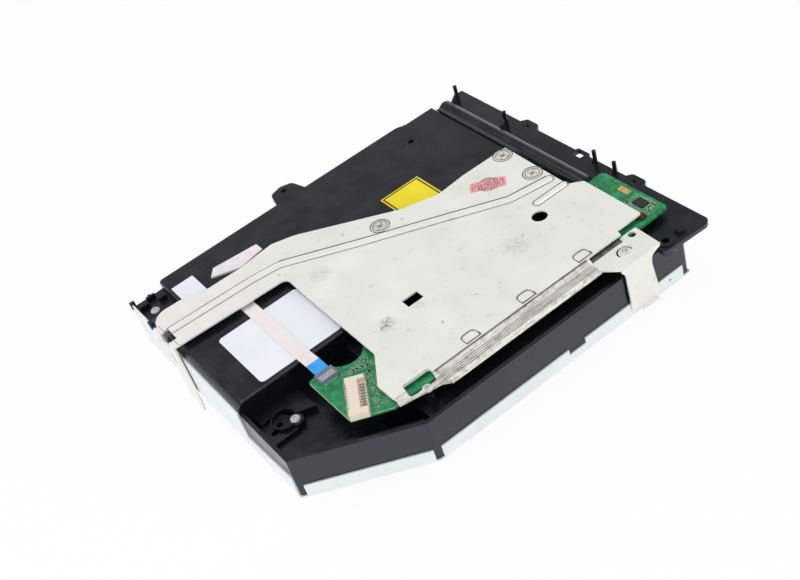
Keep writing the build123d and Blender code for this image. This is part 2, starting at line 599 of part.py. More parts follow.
def make_cover():
    """The folded steel tray: plate, flanges open at the corners, clamp dish and ribs."""
    t = COVER_THICK
    outer = housing_outline(-t)
    plate = prism([outer[0], outer[1], (WALL_RIGHT, outer[1][1]), (WALL_RIGHT, outer[3][1]),
                   outer[4]], 0, t, [1, 1, 1, 1, 1])
    front = block(DIAGONAL_FRONT_X + 2.0, WALL_RIGHT - 4.0, WALL_FRONT - t, WALL_FRONT, 0,
                  COVER_FLANGE)
    rear = block(WALL_LEFT + 2.0, WALL_RIGHT - 4.0, WALL_REAR, WALL_REAR + t, 0, COVER_FLANGE)
    side = make_face(Polyline((DIAGONAL_LEFT_Y + 1.0, 0), (DIAGONAL_LEFT_Y + 1.0, 11.5),
                              (STEP_Y - 1.0, COVER_FLANGE + 1.0), (STEP_Y + 0.6, COVER_FLANGE + 1.0),
                              (STEP_Y + 0.6, SIDE_FLANGE), (HOOK_ZONE_Y - 1.4, SIDE_FLANGE),
                              (HOOK_ZONE_Y - 1.4, SIDE_FLANGE_REAR),
                              (WALL_REAR - 1.0, SIDE_FLANGE_REAR), (WALL_REAR - 1.0, 0), close=True))
    left = slab_yz(side, WALL_LEFT - t, WALL_LEFT)
    for hook in side_hooks(RUNNING_GAP):
        left = left - hook
    run_x = DIAGONAL_FRONT_X - WALL_LEFT
    run_y = WALL_FRONT - DIAGONAL_LEFT_Y
    slant = math.hypot(run_x, run_y)
    strip = block(2.5, slant - 1.5, -t, 0, 0, COVER_FLANGE)
    turn = math.degrees(math.atan2(run_y, run_x))
    diagonal = Pos(WALL_LEFT, DIAGONAL_LEFT_Y, 0) * Rot(0, 0, turn) * strip
    cover = plate + front + rear + left + diagonal

    # Drawn dish that carries the clamp puck
    dish_top = DISH_DEPTH
    cover = cover + disc_z(SPINDLE_X, SPINDLE_Y, 0, dish_top, DISH_DIA)
    cover = cover - disc_z(SPINDLE_X, SPINDLE_Y, -1, dish_top - t, DISH_DIA - 2 * t)
    cover = cover - disc_z(SPINDLE_X, SPINDLE_Y, -1, dish_top + 1, PUCK_STEM_DIA + 2.0)

    # Window in the front flange, two pressed ribs and the screw holes
    cover = cover - block(20.0, 29.0, WALL_FRONT - t - 1, WALL_FRONT + 0.01, 3.8,
                          COVER_FLANGE + 1)
    cover = cover - rod_y(WALL_FRONT - t - 1, WALL_FRONT + 0.01, 76.5, 3.6, 1.2)
    for x, y, roof in COVER_SCREWS:
        cover = cover + disc_z(x, y, 0, BOSS_BOTTOM, DIMPLE_DIA)
        cover = cover - disc_z(x, y, -1, DIMPLE_DEPTH, DIMPLE_DIA - 2 * t)
        cover = cover - disc_z(x, y, -1, BOSS_BOTTOM + 1, SCREW_DIA + 0.4)
    return cover


def make_disc_guide():
    """The low bar under the roller that the disc slides over."""
    half = DISC_DIA / 2 + 1.0
    profile = make_face(FilletPolyline((GUIDE_LEFT, COVER_THICK), (GUIDE_LEFT + 2.0, GUIDE_TOP),
                                       (GUIDE_RIGHT - 1.5, GUIDE_TOP),
                                       (GUIDE_RIGHT, COVER_THICK),
                                       radius=[0, 1.0, 1.0, 0], close=True))
    return slab_xz(profile, SPINDLE_Y - half, SPINDLE_Y + half)


def bracket_leg():
    """The upright tab of the main bracket beside the left wall, with its slot and hole."""
    outer_x = LEG_OUTER_X
    foot_z = BRACKET_TOP - LEG_DROP
    outline = FilletPolyline(
        (LEG_FRONT_Y, BRACKET_TOP), (LEG_FRONT_Y, foot_z + 8.0), (LEG_FRONT_Y + 3.0, foot_z),
        (LEG_FRONT_Y + 12.0, foot_z + 5.0), (LEG_REAR_Y, BRACKET_TOP),
        radius=[0, 4.0, 0.8, 1.0, 0], close=True)
    tab = slab_yz(make_face(outline), outer_x, outer_x + BRACKET_THICK)
    hole_face = Pos(LEG_FRONT_Y + 8.6, BRACKET_TOP - 11.6) * Rot(0, 0, 80) * SlotOverall(6.5, 2.8)
    return tab - slab_yz(hole_face, outer_x - 1, outer_x + BRACKET_THICK + 1)


BRACKET_OUTLINE = [
    (-98.6, 31.0, 0), (-42.7, 28.3, 3.0), (-43.4, -20.4, 0), (-43.6, -42.5, 3.0),
    (-53.2, -58.2, 3.0), (-53.0, -69.0, 1.0), (66.0, -69.0, 0), (66.5, -66.3, 0.5),
    (80.4, -66.1, 1.0), (81.1, -30.2, 1.5), (75.3, -25.6, 1.0), (76.4, 18.8, 1.0),
    (51.2, 19.1, 2.0), (35.7, 17.7, 12.0), (18.5, 23.7, 12.0), (-23.8, 50.9, 12.0),
    (-34.5, 54.8, 3.0), (-53.0, 52.6, 4.0), (-73.8, 53.2, 1.0), (-82.5, 57.2, 4.0),
    (-98.6, 58.1, 8.0),
]
BEAD_UPPER = [(-95.1, 44.9), (-53.2, 43.0), (-39.2, 40.9), (-7.0, 22.3), (20.2, 7.6),
              (52.6, -10.4), (72.7, -14.0)]
BEAD_WIDTH = 4.3
BEAD_HEIGHT = 0.6
BEAD_MOAT = 1.1
BEAD_MOAT_DEPTH = 0.15


def bead(points, width, height, base):
    """A raised stiffening bead with round ends along a polyline."""
    path = FilletPolyline(*points, radius=10.0) if len(points) > 2 else Polyline(*points)
    face = trace(path, line_width=width)
    for x, y in (points[0], points[-1]):
        face = face + Pos(x, y) * Circle(width / 2)
    return Pos(0, 0, base) * extrude(face, height + 0.3, taper=35)


def seat_marks(x, y):
    """The rings and the cross pressed into the head of a riveted stud, as a cutter."""
    low = BRACKET_TOP - SEAT_MARK_DEPTH
    marks = []
    for dia in (SEAT_DIA + 0.3, SEAT_DIA * 0.7):
        marks.append(disc_z(x, y, low, BRACKET_TOP + 1, dia)
                     - disc_z(x, y, low - 1, BRACKET_TOP + 2, dia - 0.9))
    for wide, deep in ((SEAT_DIA * 0.45, 0.5), (0.5, SEAT_DIA * 0.45)):
        marks.append(block(x - wide / 2, x + wide / 2, y - deep / 2, y + deep / 2, low,
                           BRACKET_TOP + 1))
    return marks


def lanced_tab(x, half):
    """The outline of a round-backed tab that is cut free along three sides, as a cutter."""
    return prism([(x - half, SEAM_TAB_ROOT), (x + half, SEAM_TAB_ROOT), (x + half, SEAM_TAB_ROOT + 2.0),
                  (x + half, SEAM_TAB_ROOT + half * 1.42), (x - half, SEAM_TAB_ROOT + half * 1.42),
                  (x - half, SEAM_TAB_ROOT + 2.0)], BRACKET_UNDER - 1, BRACKET_TOP + 2,
                 [0, 0, 0, half * 0.55, half * 0.55, 0])


def make_shield_bracket():
    """The large tinned steel bracket over the board, with its beads, seats, tabs and leg."""
    points = [(x, y) for x, y, r in BRACKET_OUTLINE]
    radii = [r for x, y, r in BRACKET_OUTLINE]
    plate = prism(points, BRACKET_UNDER, BRACKET_TOP, radii)
    reach = block(LEG_OUTER_X, -97.0, LEG_FRONT_Y, LEG_REAR_Y, BRACKET_UNDER, BRACKET_TOP)
    bracket = plate + reach + bracket_leg()
    long_bead = [(x, y - BEAD_WIDTH / 2) for x, y in BEAD_UPPER]
    short_bead = [(58.8, -24.6), (74.2, -24.6)]
    for line, width in ((long_bead, BEAD_WIDTH), (short_bead, 3.6)):
        bracket = bracket - bead(line, width + BEAD_MOAT, BEAD_HEIGHT, BRACKET_TOP - BEAD_MOAT_DEPTH)
        bracket = bracket + bead(line, width, BEAD_HEIGHT, BRACKET_TOP - 0.3)
    for x, y in SEATS:
        bracket = bracket + disc_z(x, y, PANEL_TOP, BRACKET_TOP, SEAT_DIA) - seat_marks(x, y)
    bracket = bracket - disc_z(53.4, -32.2, BRACKET_UNDER - 1, BRACKET_TOP + 2, 7.2)
    bracket = bracket - block(-18.0, -10.0, -31.7, -26.3, BRACKET_UNDER - 1, BRACKET_TOP + 2)
    bracket = bracket - prism(SEAM_WINDOW, BRACKET_UNDER - 1, BRACKET_TOP + 2, 1.2)
    for x in SEAM_TABS_X:
        bracket = bracket - (lanced_tab(x, SEAM_TAB_HALF) - lanced_tab(x, SEAM_TAB_HALF - 0.45))
    leg_slot = block(LEG_OUTER_X - 1, LEG_OUTER_X + 4.4, LEG_FRONT_Y + 5.0, LEG_FRONT_Y + 13.5,
                     BRACKET_TOP - 4.0, BRACKET_TOP + 2)
    return bracket - leg_slot


def make_ground_bracket():
    """The front strip under the main bracket, with the clip plate and leg at its right end."""
    t = BRACKET_THICK
    top = BRACKET_UNDER
    plate_top = CLIP_TOP
    section = make_face(Polyline(
        (-62.0, top), (-69.6, top), (-71.2, plate_top), (-75.4, plate_top),
        (-76.4, plate_top - 2.2), (-75.7, plate_top - 2.5), (-74.9, plate_top - t),
        (-70.8, plate_top - t), (-69.2, top - t), (-62.0, top - t), close=True))
    strip = slab_yz(section, STRIP_LEFT, STRIP_RIGHT)
    leg_y = WALL_FRONT - COVER_THICK - 0.3
    plate = prism([(47.0, -71.0), (65.2, -71.0), (65.2, -68.4), (74.4, -68.4), (73.6, leg_y - t),
                   (52.8, leg_y - t), (47.0, -76.6)], plate_top - t, plate_top,
                  [0, 0, 0.5, 1.0, 0.3, 0.5, 1.0])
    leg_face = make_face(FilletPolyline(
        (52.2, plate_top), (52.2, plate_top - 1.6), (53.8, 23.4), (54.2, 2.2), (68.4, 2.2),
        (69.2, 8.0), (67.8, 20.0), (68.4, 24.0), (73.2, plate_top - 1.0), (73.2, plate_top),
        radius=[0, 1, 2, 2, 2, 4, 4, 3, 0.4, 0], close=True))
    leg = slab_xz(leg_face, leg_y - t, leg_y)
    foot = block(58.0, 67.0, leg_y - 3.2, leg_y - t + 0.01, 2.2, 2.2 + t)
    bracket = strip + plate + leg + foot
    screw_x, screw_y = BOARD_SCREWS[1]
    bracket = bracket - disc_z(70.3, -70.6, plate_top - 2, plate_top + 1, 3.6)
    slot = disc_z(screw_x, screw_y, plate_top - 2, plate_top + 1, 7.4)
    slot = slot - disc_z(screw_x, screw_y, plate_top - 3, plate_top + 2, 5.8)
    slot = slot - block(screw_x - 6, screw_x + 6, screw_y - 6, screw_y - 0.6, plate_top - 3,
                        plate_top + 2)
    bracket = bracket - slot
    for x, y in BOARD_SCREWS:
        bracket = bracket - disc_z(x, y, plate_top - 6, plate_top + 3, SCREW_DIA + 0.4)
    corner = prism([(STRIP_LEFT - 8.0, STRIP_CUT_Y), (STRIP_LEFT - 1.5, STRIP_CUT_Y),
                    (STRIP_LEFT + 22.0, STRIP_CUT_Y - 4.8), (STRIP_LEFT + 22.0, STRIP_CUT_Y - 12.0),
                    (STRIP_LEFT - 8.0, STRIP_CUT_Y - 12.0)], plate_top - 8, plate_top + 4)
    return bracket - prism(SEAM_WINDOW, plate_top - 8, top + 1, 1.2) - corner


def make_board():
    """The main circuit board, with its scalloped rear edge and screw holes."""
    board = prism([(-70.0, -30.5), (-70.0, -61.5), (-54.0, -69.7), (76.5, -69.7), (92.6, -69.2),
                   (92.6, -29.0), (-42.0, -29.5)], BOARD_UNDER, BOARD_TOP,
                  [1.5, 1.0, 1.0, 0, 2.0, 2.5, 0])
    board = board - disc_z(-50.4, -27.5, BOARD_UNDER - 1, BOARD_TOP + 1, 17.0)
    board = board - disc_z(54.6, -30.4, BOARD_UNDER - 1, BOARD_TOP + 1, 12.0)
    return board


def make_ribbon():
    """The flat white cable: out of the panel under the arm, along the panel, into its socket."""
    t = 0.3
    low = PANEL_TOP + 0.12
    end_z = BOARD_TOP + 0.9
    section = make_face(Polyline(
        (RIBBON_REAR, low), (STEP_Y + 1.0, low + 0.2), (RIBBON_FRONT + STIFFENER_LENGTH, end_z),
        (RIBBON_FRONT, end_z), (RIBBON_FRONT, end_z + t), (RIBBON_FRONT + STIFFENER_LENGTH, end_z + t),
        (STEP_Y + 1.0, low + 0.2 + t),
        (RIBBON_REAR, low + t), close=True))
    half = RIBBON_WIDTH / 2
    return slab_yz(section, RIBBON_X - half, RIBBON_X + half)


def label(points, radius):
    """A printed film label stuck on the panel."""
    return prism(points, PANEL_TOP, PANEL_TOP + LABEL_THICK, radius)


def make_board_connector():
    """The ivory wire-to-board header, open along one long side."""
    body = Box(CONNECTOR_LENGTH, 8.0, CONNECTOR_HEIGHT,
               align=(Align.CENTER, Align.CENTER, Align.MIN))
    body = body - Pos(0.6, -2.6, 1.0) * Box(CONNECTOR_LENGTH - 5.0, 3.2, CONNECTOR_HEIGHT,
                                            align=(Align.CENTER, Align.CENTER, Align.MIN))
    body = body - Pos(0, -3.6, 1.8) * Box(CONNECTOR_LENGTH - 8.0, 2.0, CONNECTOR_HEIGHT,
                                          align=(Align.CENTER, Align.CENTER, Align.MIN))
    pitch = (CONNECTOR_LENGTH - 8.2) / (CONNECTOR_WAYS - 1)
    first = -CONNECTOR_LENGTH / 2 + 4.2
    for i in range(CONNECTOR_WAYS):
        body = body - Pos(first + pitch * i, 4.0, 1.6) * Box(0.8, 1.6, CONNECTOR_HEIGHT,
                                                            align=(Align.CENTER, Align.CENTER, Align.MIN))
    place = Pos(*CONNECTOR_PLACE, BOARD_TOP) * Rot(0, 0, CONNECTOR_TURN)
    pins = [place * Pos(first + pitch * i, -2.6, 1.0)
            * Box(0.5, 2.0, 0.8, align=(Align.CENTER, Align.CENTER, Align.MIN))
            for i in range(CONNECTOR_WAYS)]
    return place * body, pins


def make_clamp_puck():
    """The spinning clamp disc with its recess for the hub and its stem through the cover."""
    puck = disc_z(SPINDLE_X, SPINDLE_Y, PUCK_LOW, PUCK_TOP, PUCK_DIA)
    puck = chamfer(puck.edges().group_by(Axis.Z)[0], 0.8)
    puck = puck + disc_z(SPINDLE_X, SPINDLE_Y, CAP_TOP, PUCK_LOW, PUCK_STEM_DIA)
    puck = puck - disc_z(SPINDLE_X, SPINDLE_Y, PUCK_LOW + 0.8, PUCK_TOP + 1, DISC_BORE + 3.0)
    return puck


def make_turntable():
    """The rotor can, the platter that the disc sits on and the centring hub below it."""
    rotor = disc_z(SPINDLE_X, SPINDLE_Y, DISC_HIGH_Z + 1.5, ROTOR_TOP, ROTOR_DIA)
    rotor = rotor - disc_z(SPINDLE_X, SPINDLE_Y, DISC_HIGH_Z + 2.5, ROTOR_TOP + 1,
                           ROTOR_DIA - 2.0)
    platter = disc_z(SPINDLE_X, SPINDLE_Y, DISC_HIGH_Z, DISC_HIGH_Z + 1.5, TURNTABLE_DIA)
    hub = disc_z(SPINDLE_X, SPINDLE_Y, DISC_HIGH_Z - HUB_HEIGHT, DISC_HIGH_Z, DISC_BORE - 0.2)
    hub = chamfer(hub.edges().group_by(Axis.Z)[0], 1.2)
    for i in range(3):
        notch = Pos(SPINDLE_X, SPINDLE_Y, DISC_HIGH_Z - HUB_HEIGHT) * Rot(0, 0, 120 * i) * Pos(
            DISC_BORE / 2 - 1.0, 0, 0) * Box(2.2, 2.4, 3.2)
        hub = hub - notch
    return rotor, platter + hub


def make_spindle_motor():
    """The stator with its base plate, standing in the open rotor can."""
    corners = ((-13.0, -15.0), (13.0, -15.0), (19.0, -8.0), (19.0, 10.0), (7.0, 20.0),
               (-13.0, 20.0))
    plate = prism([(SPINDLE_X + x, SPINDLE_Y + y) for x, y in corners], FRAME_TOP,
                  FRAME_TOP + 0.8, 2.0)
    stator = disc_z(SPINDLE_X, SPINDLE_Y, ROTOR_TOP - 4.4, ROTOR_TOP - 0.4, ROTOR_DIA - 4.0)
    for i in range(9):
        slot = Pos(SPINDLE_X, SPINDLE_Y, ROTOR_TOP - 2.4) * Rot(0, 0, 40 * i) * Pos(
            ROTOR_DIA / 2 - 3.0, 0, 0) * Box(5.0, 1.2, 6.0)
        stator = stator - slot
    neck = disc_z(SPINDLE_X, SPINDLE_Y, ROTOR_TOP - 1.0, FRAME_TOP + 0.2, 8.0)
    return plate + stator + neck


def make_traverse_frame():
    """The moulded frame that carries motor, rods and screw, with hinge tongue and cam pins."""
    frame = prism([(TRAVERSE_LEFT, TRAVERSE_FRONT), (TRAVERSE_RIGHT, TRAVERSE_FRONT),
                   (TRAVERSE_RIGHT, TRAVERSE_REAR), (TRAVERSE_LEFT, TRAVERSE_REAR)],
                  FRAME_LOW, FRAME_TOP, 2.0)
    tongue = block(TRAVERSE_PIVOT_X - 3.0, TRAVERSE_LEFT + 0.5, TONGUE_FRONT, TONGUE_REAR,
                   FRAME_LOW, FRAME_TOP)
    frame = frame + fillet(tongue.edges().filter_by(Axis.Y).group_by(Axis.X)[0], 2.0)
    window = block(TRAVERSE_LEFT + 6.0, WINDOW_RIGHT, SLED_FRONT - 1.0, SLED_REAR + 11.0,
                   FRAME_LOW - 1, FRAME_TOP + 1)
    frame = frame - window
    frame = frame - disc_z(SPINDLE_X, SPINDLE_Y, FRAME_LOW - 1, FRAME_TOP + 1, ROTOR_HOLE_DIA)
    pocket = prism([(WINDOW_RIGHT + 4.5, 25.0), (TRAVERSE_RIGHT - 5.0, 25.0),
                    (TRAVERSE_RIGHT - 5.0, TRAVERSE_REAR - 4.0),
                    (WINDOW_RIGHT + 4.5, TRAVERSE_REAR - 4.0)], FRAME_LOW - 1, FRAME_TOP - 1.2,
                   2.0)
    frame = frame - pocket
    for y in (ROD_FRONT_Y, ROD_REAR_Y):
        frame = frame - rod_x(TRAVERSE_LEFT + 3.0, WINDOW_RIGHT + 2.0, y, ROD_Z,
                              ROD_DIA + 2 * FIT)
    frame = frame - rod_x(TRAVERSE_LEFT - 1.0, WINDOW_RIGHT + 2.5, LEAD_Y, ROD_Z,
                          LEAD_SCREW_DIA + RUNNING_GAP)
    frame = frame - rod_y(TONGUE_FRONT - 1, TONGUE_REAR + 1, TRAVERSE_PIVOT_X, TRAVERSE_PIVOT_Z,
                          HINGE_PIN_DIA + RUNNING_GAP)
    for y in CAM_PINS_Y:
        frame = frame + rod_x(TRAVERSE_RIGHT - 0.5, CAM_X + CAM_THICK, y, TRAVERSE_PIVOT_Z,
                              CAM_PIN_DIA)
    return frame


def make_cam_slide():
    """The cross slide whose slanted grooves lift the traverse as it moves."""
    rise = (CAM_X + CAM_THICK / 2 - TRAVERSE_PIVOT_X) * math.sin(
        math.radians(TRAVERSE_LIFT_DEG))
    slide = block(CAM_X, CAM_X + CAM_THICK, CAM_PINS_Y[0] - CAM_TRAVEL - 4.0, CAM_PINS_Y[1] + 6.0,
                  CAM_LOW, CAM_HIGH)
    width = CAM_PIN_DIA + 2 * RUNNING_GAP
    for y in CAM_PINS_Y:
        groove = arm_face((y + 0.3, TRAVERSE_PIVOT_Z), (y - CAM_TRAVEL - 0.3,
                                                        TRAVERSE_PIVOT_Z + rise), width)
        slide = slide - slab_yz(groove, CAM_X - 1, CAM_X + CAM_THICK + 1)
    return slide


def make_sled():
    """The pickup carriage on its two rods, with the lens pocket and the lead screw nut."""
    sled = prism([(LENS_X - 12.0, SLED_FRONT), (LENS_X + 8.0, SLED_FRONT),
                  (LENS_X + 8.0, SLED_REAR), (LENS_X - 12.0, SLED_REAR)], SLED_LOW, SLED_HIGH, 2.0)
    sled = sled - block(LENS_X - 6.0, LENS_X + 6.0, SPINDLE_Y - 4.5, SPINDLE_Y + 4.5,
                        SLED_LOW - 1, SLED_LOW + 3.4)
    for y in (ROD_FRONT_Y, ROD_REAR_Y):
        sled = sled - rod_x(LENS_X - 13.0, LENS_X + 11.0, y, ROD_Z, ROD_DIA + RUNNING_GAP)
    waist = block(LENS_X - 7.0, LENS_X + 5.0, SLED_FRONT - 1, SLED_FRONT + 2.0, SLED_LOW - 1,
                  SLED_HIGH + 1)
    return sled - waist


def make_feed_nut():
    """The nut block between the sled and the lead screw."""
    nut = block(LENS_X - 5.0, LENS_X + 5.0, SLED_REAR, LEAD_Y + 3.0, ROD_Z - 2.4, ROD_Z + 2.4)
    return nut - rod_x(LENS_X - 6.0, LENS_X + 6.0, LEAD_Y, ROD_Z, LEAD_SCREW_DIA + RUNNING_GAP)


def grooved_rod(x0, x1, y, z, dia, groove_start, groove_end, pitch, depth):
    """A rod along X with a turned thread form over part of its length."""
    r = dia / 2
    points = [(x0, 0), (x0, r), (groove_start, r)]
    x = groove_start
    while x + pitch <= groove_end + 1e-6:
        points += [(x + pitch * 0.25, r), (x + pitch * 0.5, r - depth), (x + pitch * 0.75, r)]
        x += pitch
    points += [(x1, r), (x1, 0)]
    face = make_face(Polyline(*points, close=True))
    return Pos(0, y, z) * revolve(face, Axis.X)


def make_roller():
    """Tapered rubber on a steel shaft, with the drive gear on its rear end."""
    front = SPINDLE_Y - ROLLER_HALF
    rear = SPINDLE_Y + ROLLER_HALF
    shaft = rod_y(ARM_FRONT_Y - 0.6, GEAR_Y + GEAR_WIDTH, ROLLER_X, ROLLER_REST_Z,
                  ROLLER_SHAFT_DIA)
    bore = ROLLER_SHAFT_DIA / 2 + FIT
    face = make_face(Polyline((bore, front), (ROLLER_END_RADIUS, front),
                              (ROLLER_WAIST_RADIUS, SPINDLE_Y - 2.0),
                              (ROLLER_WAIST_RADIUS, SPINDLE_Y + 2.0), (ROLLER_END_RADIUS, rear),
                              (bore, rear), close=True))
    rubber = Pos(ROLLER_X, 0, ROLLER_REST_Z) * revolve(face, Axis.Y)
    gear = gear_y(ROLLER_TEETH, ROLLER_X, GEAR_Y, GEAR_Y + GEAR_WIDTH, ROLLER_REST_Z,
                  ROLLER_SHAFT_DIA + 2 * FIT)
    return shaft, rubber, gear


def make_carrier():
    """The channel with two arms that swings the roller about the idler's axle."""
    arm = arm_face((IDLER_X, IDLER_Z), (ROLLER_X, ROLLER_REST_Z), 6.0)
    arm = arm - Pos(IDLER_X, IDLER_Z) * Circle(GEAR_PIN_DIA / 2 + RUNNING_GAP / 2)
    arm = arm - Pos(ROLLER_X, ROLLER_REST_Z) * Circle(ROLLER_SHAFT_DIA / 2 + RUNNING_GAP / 2)
    carrier = slab_xz(arm, ARM_FRONT_Y, ARM_FRONT_Y + CARRIER_PLATE)
    carrier = carrier + slab_xz(arm, ARM_REAR_Y, ARM_REAR_Y + CARRIER_PLATE)
    bar_x = IDLER_X + ROLLER_ARM * 0.3
    carrier = carrier + block(bar_x, bar_x + 4.0, ARM_FRONT_Y, ARM_REAR_Y + CARRIER_PLATE,
                              IDLER_Z + 2.2, IDLER_Z + 3.0)
    return carrier


def make_lever(pivot, peg):
    """A sensing lever with a peg that rides on the disc's edge."""
    arm = arm_face(pivot, peg, LEVER_PEG_DIA + 1.6) + Pos(*pivot) * Circle(3.6)
    arm = arm - Pos(*pivot) * Circle(LEVER_PIN_DIA / 2 + RUNNING_GAP / 2)
    lever = Pos(0, 0, LEVER_Z) * extrude(arm, LEVER_THICK)
    return lever + disc_z(*peg, DISC_LOW_Z - 2.5, LEVER_Z + 0.2, LEVER_PEG_DIA)


def make_loading_motor():
    """The flat-sided can of the loading motor, hung from the panel."""
    half_height = PANEL_UNDER - WORM_Z
    can = rod_x(MOTOR_LEFT, MOTOR_RIGHT, WORM_Y, WORM_Z, MOTOR_DIA)
    can = can & block(MOTOR_LEFT, MOTOR_RIGHT, WORM_Y - MOTOR_DIA, WORM_Y + MOTOR_DIA,
                      WORM_Z - half_height,
                      WORM_Z + half_height)
    return can + rod_x(MOTOR_RIGHT - 0.5, MOTOR_RIGHT + 1.2, WORM_Y, WORM_Z, 5.0)


# Nodes of the housing and the steel
save("chassis", make_chassis())
save("bottom_cover", make_cover())
save("lower_disc_guide", make_disc_guide())
save("shield_bracket", make_shield_bracket())
save("ground_bracket", make_ground_bracket())
save("cover_screws", *[screw(x, y, DIMPLE_DEPTH, up=False) for x, y, roof in COVER_SCREWS])
save("bracket_screws", *[screw(x, y, CLIP_TOP) for x, y in BOARD_SCREWS])
save("case_screws", *[screw(x, y, z) for (x, y), z in zip(CASE_SCREWS, CASE_SCREW_SEATS)])

# Nodes of the board
save("main_circuit_board", make_board())
connector, connector_pins = make_board_connector()
save("board_connector", connector)
save("connector_pins", *connector_pins)
save("ribbon_socket", block(RIBBON_X - 4.2, RIBBON_X + 4.2, RIBBON_FRONT - 5.6, RIBBON_FRONT - 0.1,
                            BOARD_TOP, BOARD_TOP + 1.8))
save("controller_chip", block(4.0, 17.0, -55.0, -42.0, BOARD_TOP, BOARD_TOP + 1.2))
save("driver_chip", block(36.0, 45.0, -55.0, -46.0, BOARD_TOP, BOARD_TOP + 1.2))
save("thermal_pad", block(37.0, 44.0, -54.0, -47.0, BOARD_TOP + 1.2, BRACKET_UNDER))
save("sensor_chip", block(84.9, 89.3, -61.4, -55.6, BOARD_TOP, BOARD_TOP + 0.9))
save("gold_contact", block(87.5, 90.3, -49.5, -43.5, BOARD_TOP, BOARD_TOP + 0.5))
save("small_components", *[block(x - 0.8, x + 0.8, y - 0.5, y + 0.5, BOARD_TOP, BOARD_TOP + 0.6)
                           for x, y in SMALL_COMPONENTS])
save("motor_ribbon_cable", make_ribbon())
save("ribbon_stiffener", block(RIBBON_X - RIBBON_WIDTH / 2, RIBBON_X + RIBBON_WIDTH / 2,
                               RIBBON_FRONT, RIBBON_FRONT + STIFFENER_LENGTH, BOARD_TOP + 1.2,
                               BOARD_TOP + 1.4))

# Labels
save("label_white_large", label([(-83.3, -15.0), (-41.8, -15.0), (-41.8, 23.0), (-83.3, 23.0)],
                                2.0))
save("label_white_small", label([(-81.0, 55.0), (-69.5, 55.0), (-69.5, 72.0), (-81.0, 72.0)], 0.5))
save("label_yellow", label([(18.1, 19.0), (39.8, 19.0), (39.8, 41.2), (18.1, 41.2)], 0.5))
save("label_folded", prism([(-64.4, 62.0), (-60.5, 66.9), (-38.0, 64.3), (-37.9, 58.9),
                            (-51.4, 56.0)], PANEL_TOP, PANEL_TOP + 0.9))

# Nodes of the clamp
save("clamp_puck", make_clamp_puck())
save("clamp_cap", disc_z(SPINDLE_X, SPINDLE_Y, 0.15, CAP_TOP, PUCK_STEM_DIA + 8.0))
save("clamp_magnet", disc_z(SPINDLE_X, SPINDLE_Y, PUCK_LOW + 0.8, PUCK_LOW + 1.8, DISC_BORE)
     - disc_z(SPINDLE_X, SPINDLE_Y, PUCK_LOW, PUCK_TOP, 6.0))

# Nodes of the traverse
save("traverse_frame", make_traverse_frame())
save("hinge_pin", rod_y(TONGUE_FRONT - RUNNING_GAP - PIVOT_POST + 1.0,
                        TONGUE_REAR + RUNNING_GAP + PIVOT_POST - 1.0, TRAVERSE_PIVOT_X,
                        TRAVERSE_PIVOT_Z, HINGE_PIN_DIA))
save("guide_rods", *[rod_x(TRAVERSE_LEFT + 3.2, WINDOW_RIGHT + 1.8, y, ROD_Z, ROD_DIA)
                     for y in (ROD_FRONT_Y, ROD_REAR_Y)])
save("spindle_motor", make_spindle_motor())
rotor, turntable = make_turntable()
save("spindle_rotor", rotor)
save("turntable", turntable)
save("sled_motor", rod_x(TRAVERSE_LEFT - 10.0, TRAVERSE_LEFT, LEAD_Y, ROD_Z, 8.0))
save("lead_screw", rod_x(TRAVERSE_LEFT + RUNNING_GAP, WINDOW_RIGHT + 2.0, LEAD_Y, ROD_Z,
                         LEAD_SCREW_DIA))
save("pickup_sled", make_sled())
save("feed_nut", make_feed_nut())
save("pickup_shield", block(LENS_X - 9.0, LENS_X + 6.0, SLED_FRONT + 5.0, SLED_REAR - 8.0,
                            SLED_HIGH, SLED_HIGH + 0.4))
save("lens_holder", block(LENS_X - 5.5, LENS_X + 5.5, SPINDLE_Y - 4.0, SPINDLE_Y + 4.0,
                          SLED_LOW - 0.3, SLED_LOW + 2.4)
     - disc_z(LENS_X, SPINDLE_Y, SLED_LOW - 1, SLED_LOW + 3, 5.0))
save("objective_lens", disc_z(LENS_X, SPINDLE_Y, SLED_LOW, SLED_LOW + 1.6, 4.9))
save("cam_slide", make_cam_slide())

# Nodes of the loading drive
roller_shaft, roller_rubber, roller_gear = make_roller()
save("feed_roller_shaft", roller_shaft)
save("feed_roller_rubber", roller_rubber)
save("feed_roller_gear", roller_gear)
save("roller_carrier", make_carrier())
save("idler_gear", gear_y(IDLER_TEETH, IDLER_X, GEAR_Y, GEAR_Y + GEAR_WIDTH, IDLER_Z,
                          GEAR_PIN_DIA + RUNNING_GAP, 180 / IDLER_TEETH))
wheel = gear_y(WHEEL_TEETH, WHEEL_X, WHEEL_Y, WHEEL_Y + GEAR_WIDTH, WHEEL_Z,
               GEAR_PIN_DIA + RUNNING_GAP)
pinion = gear_y(PINION_TEETH, WHEEL_X, GEAR_Y, WHEEL_Y, WHEEL_Z, GEAR_PIN_DIA + RUNNING_GAP)
save("worm_wheel", wheel + pinion)
save("loading_worm", grooved_rod(MOTOR_RIGHT + 1.5, WHEEL_X + 8.0, WORM_Y, WORM_Z,
                                 2 * (WORM_RADIUS - TOOTH_CLEAR), MOTOR_RIGHT + 2.5,
                                 WHEEL_X + 7.0, 1.6, 0.6))
save("loading_motor", make_loading_motor())
save("sensor_board", block(56.0, 64.0, -50.0, -26.0, BOARD_FLOOR_UNDER - 1.0, BOARD_FLOOR_UNDER))
save("disc_sensors", *[block(58.0, 62.0, y, y + 3.0, BOARD_FLOOR_UNDER - 3.4,
                             BOARD_FLOOR_UNDER - 1.0) for y in (-47.0, -32.0)])

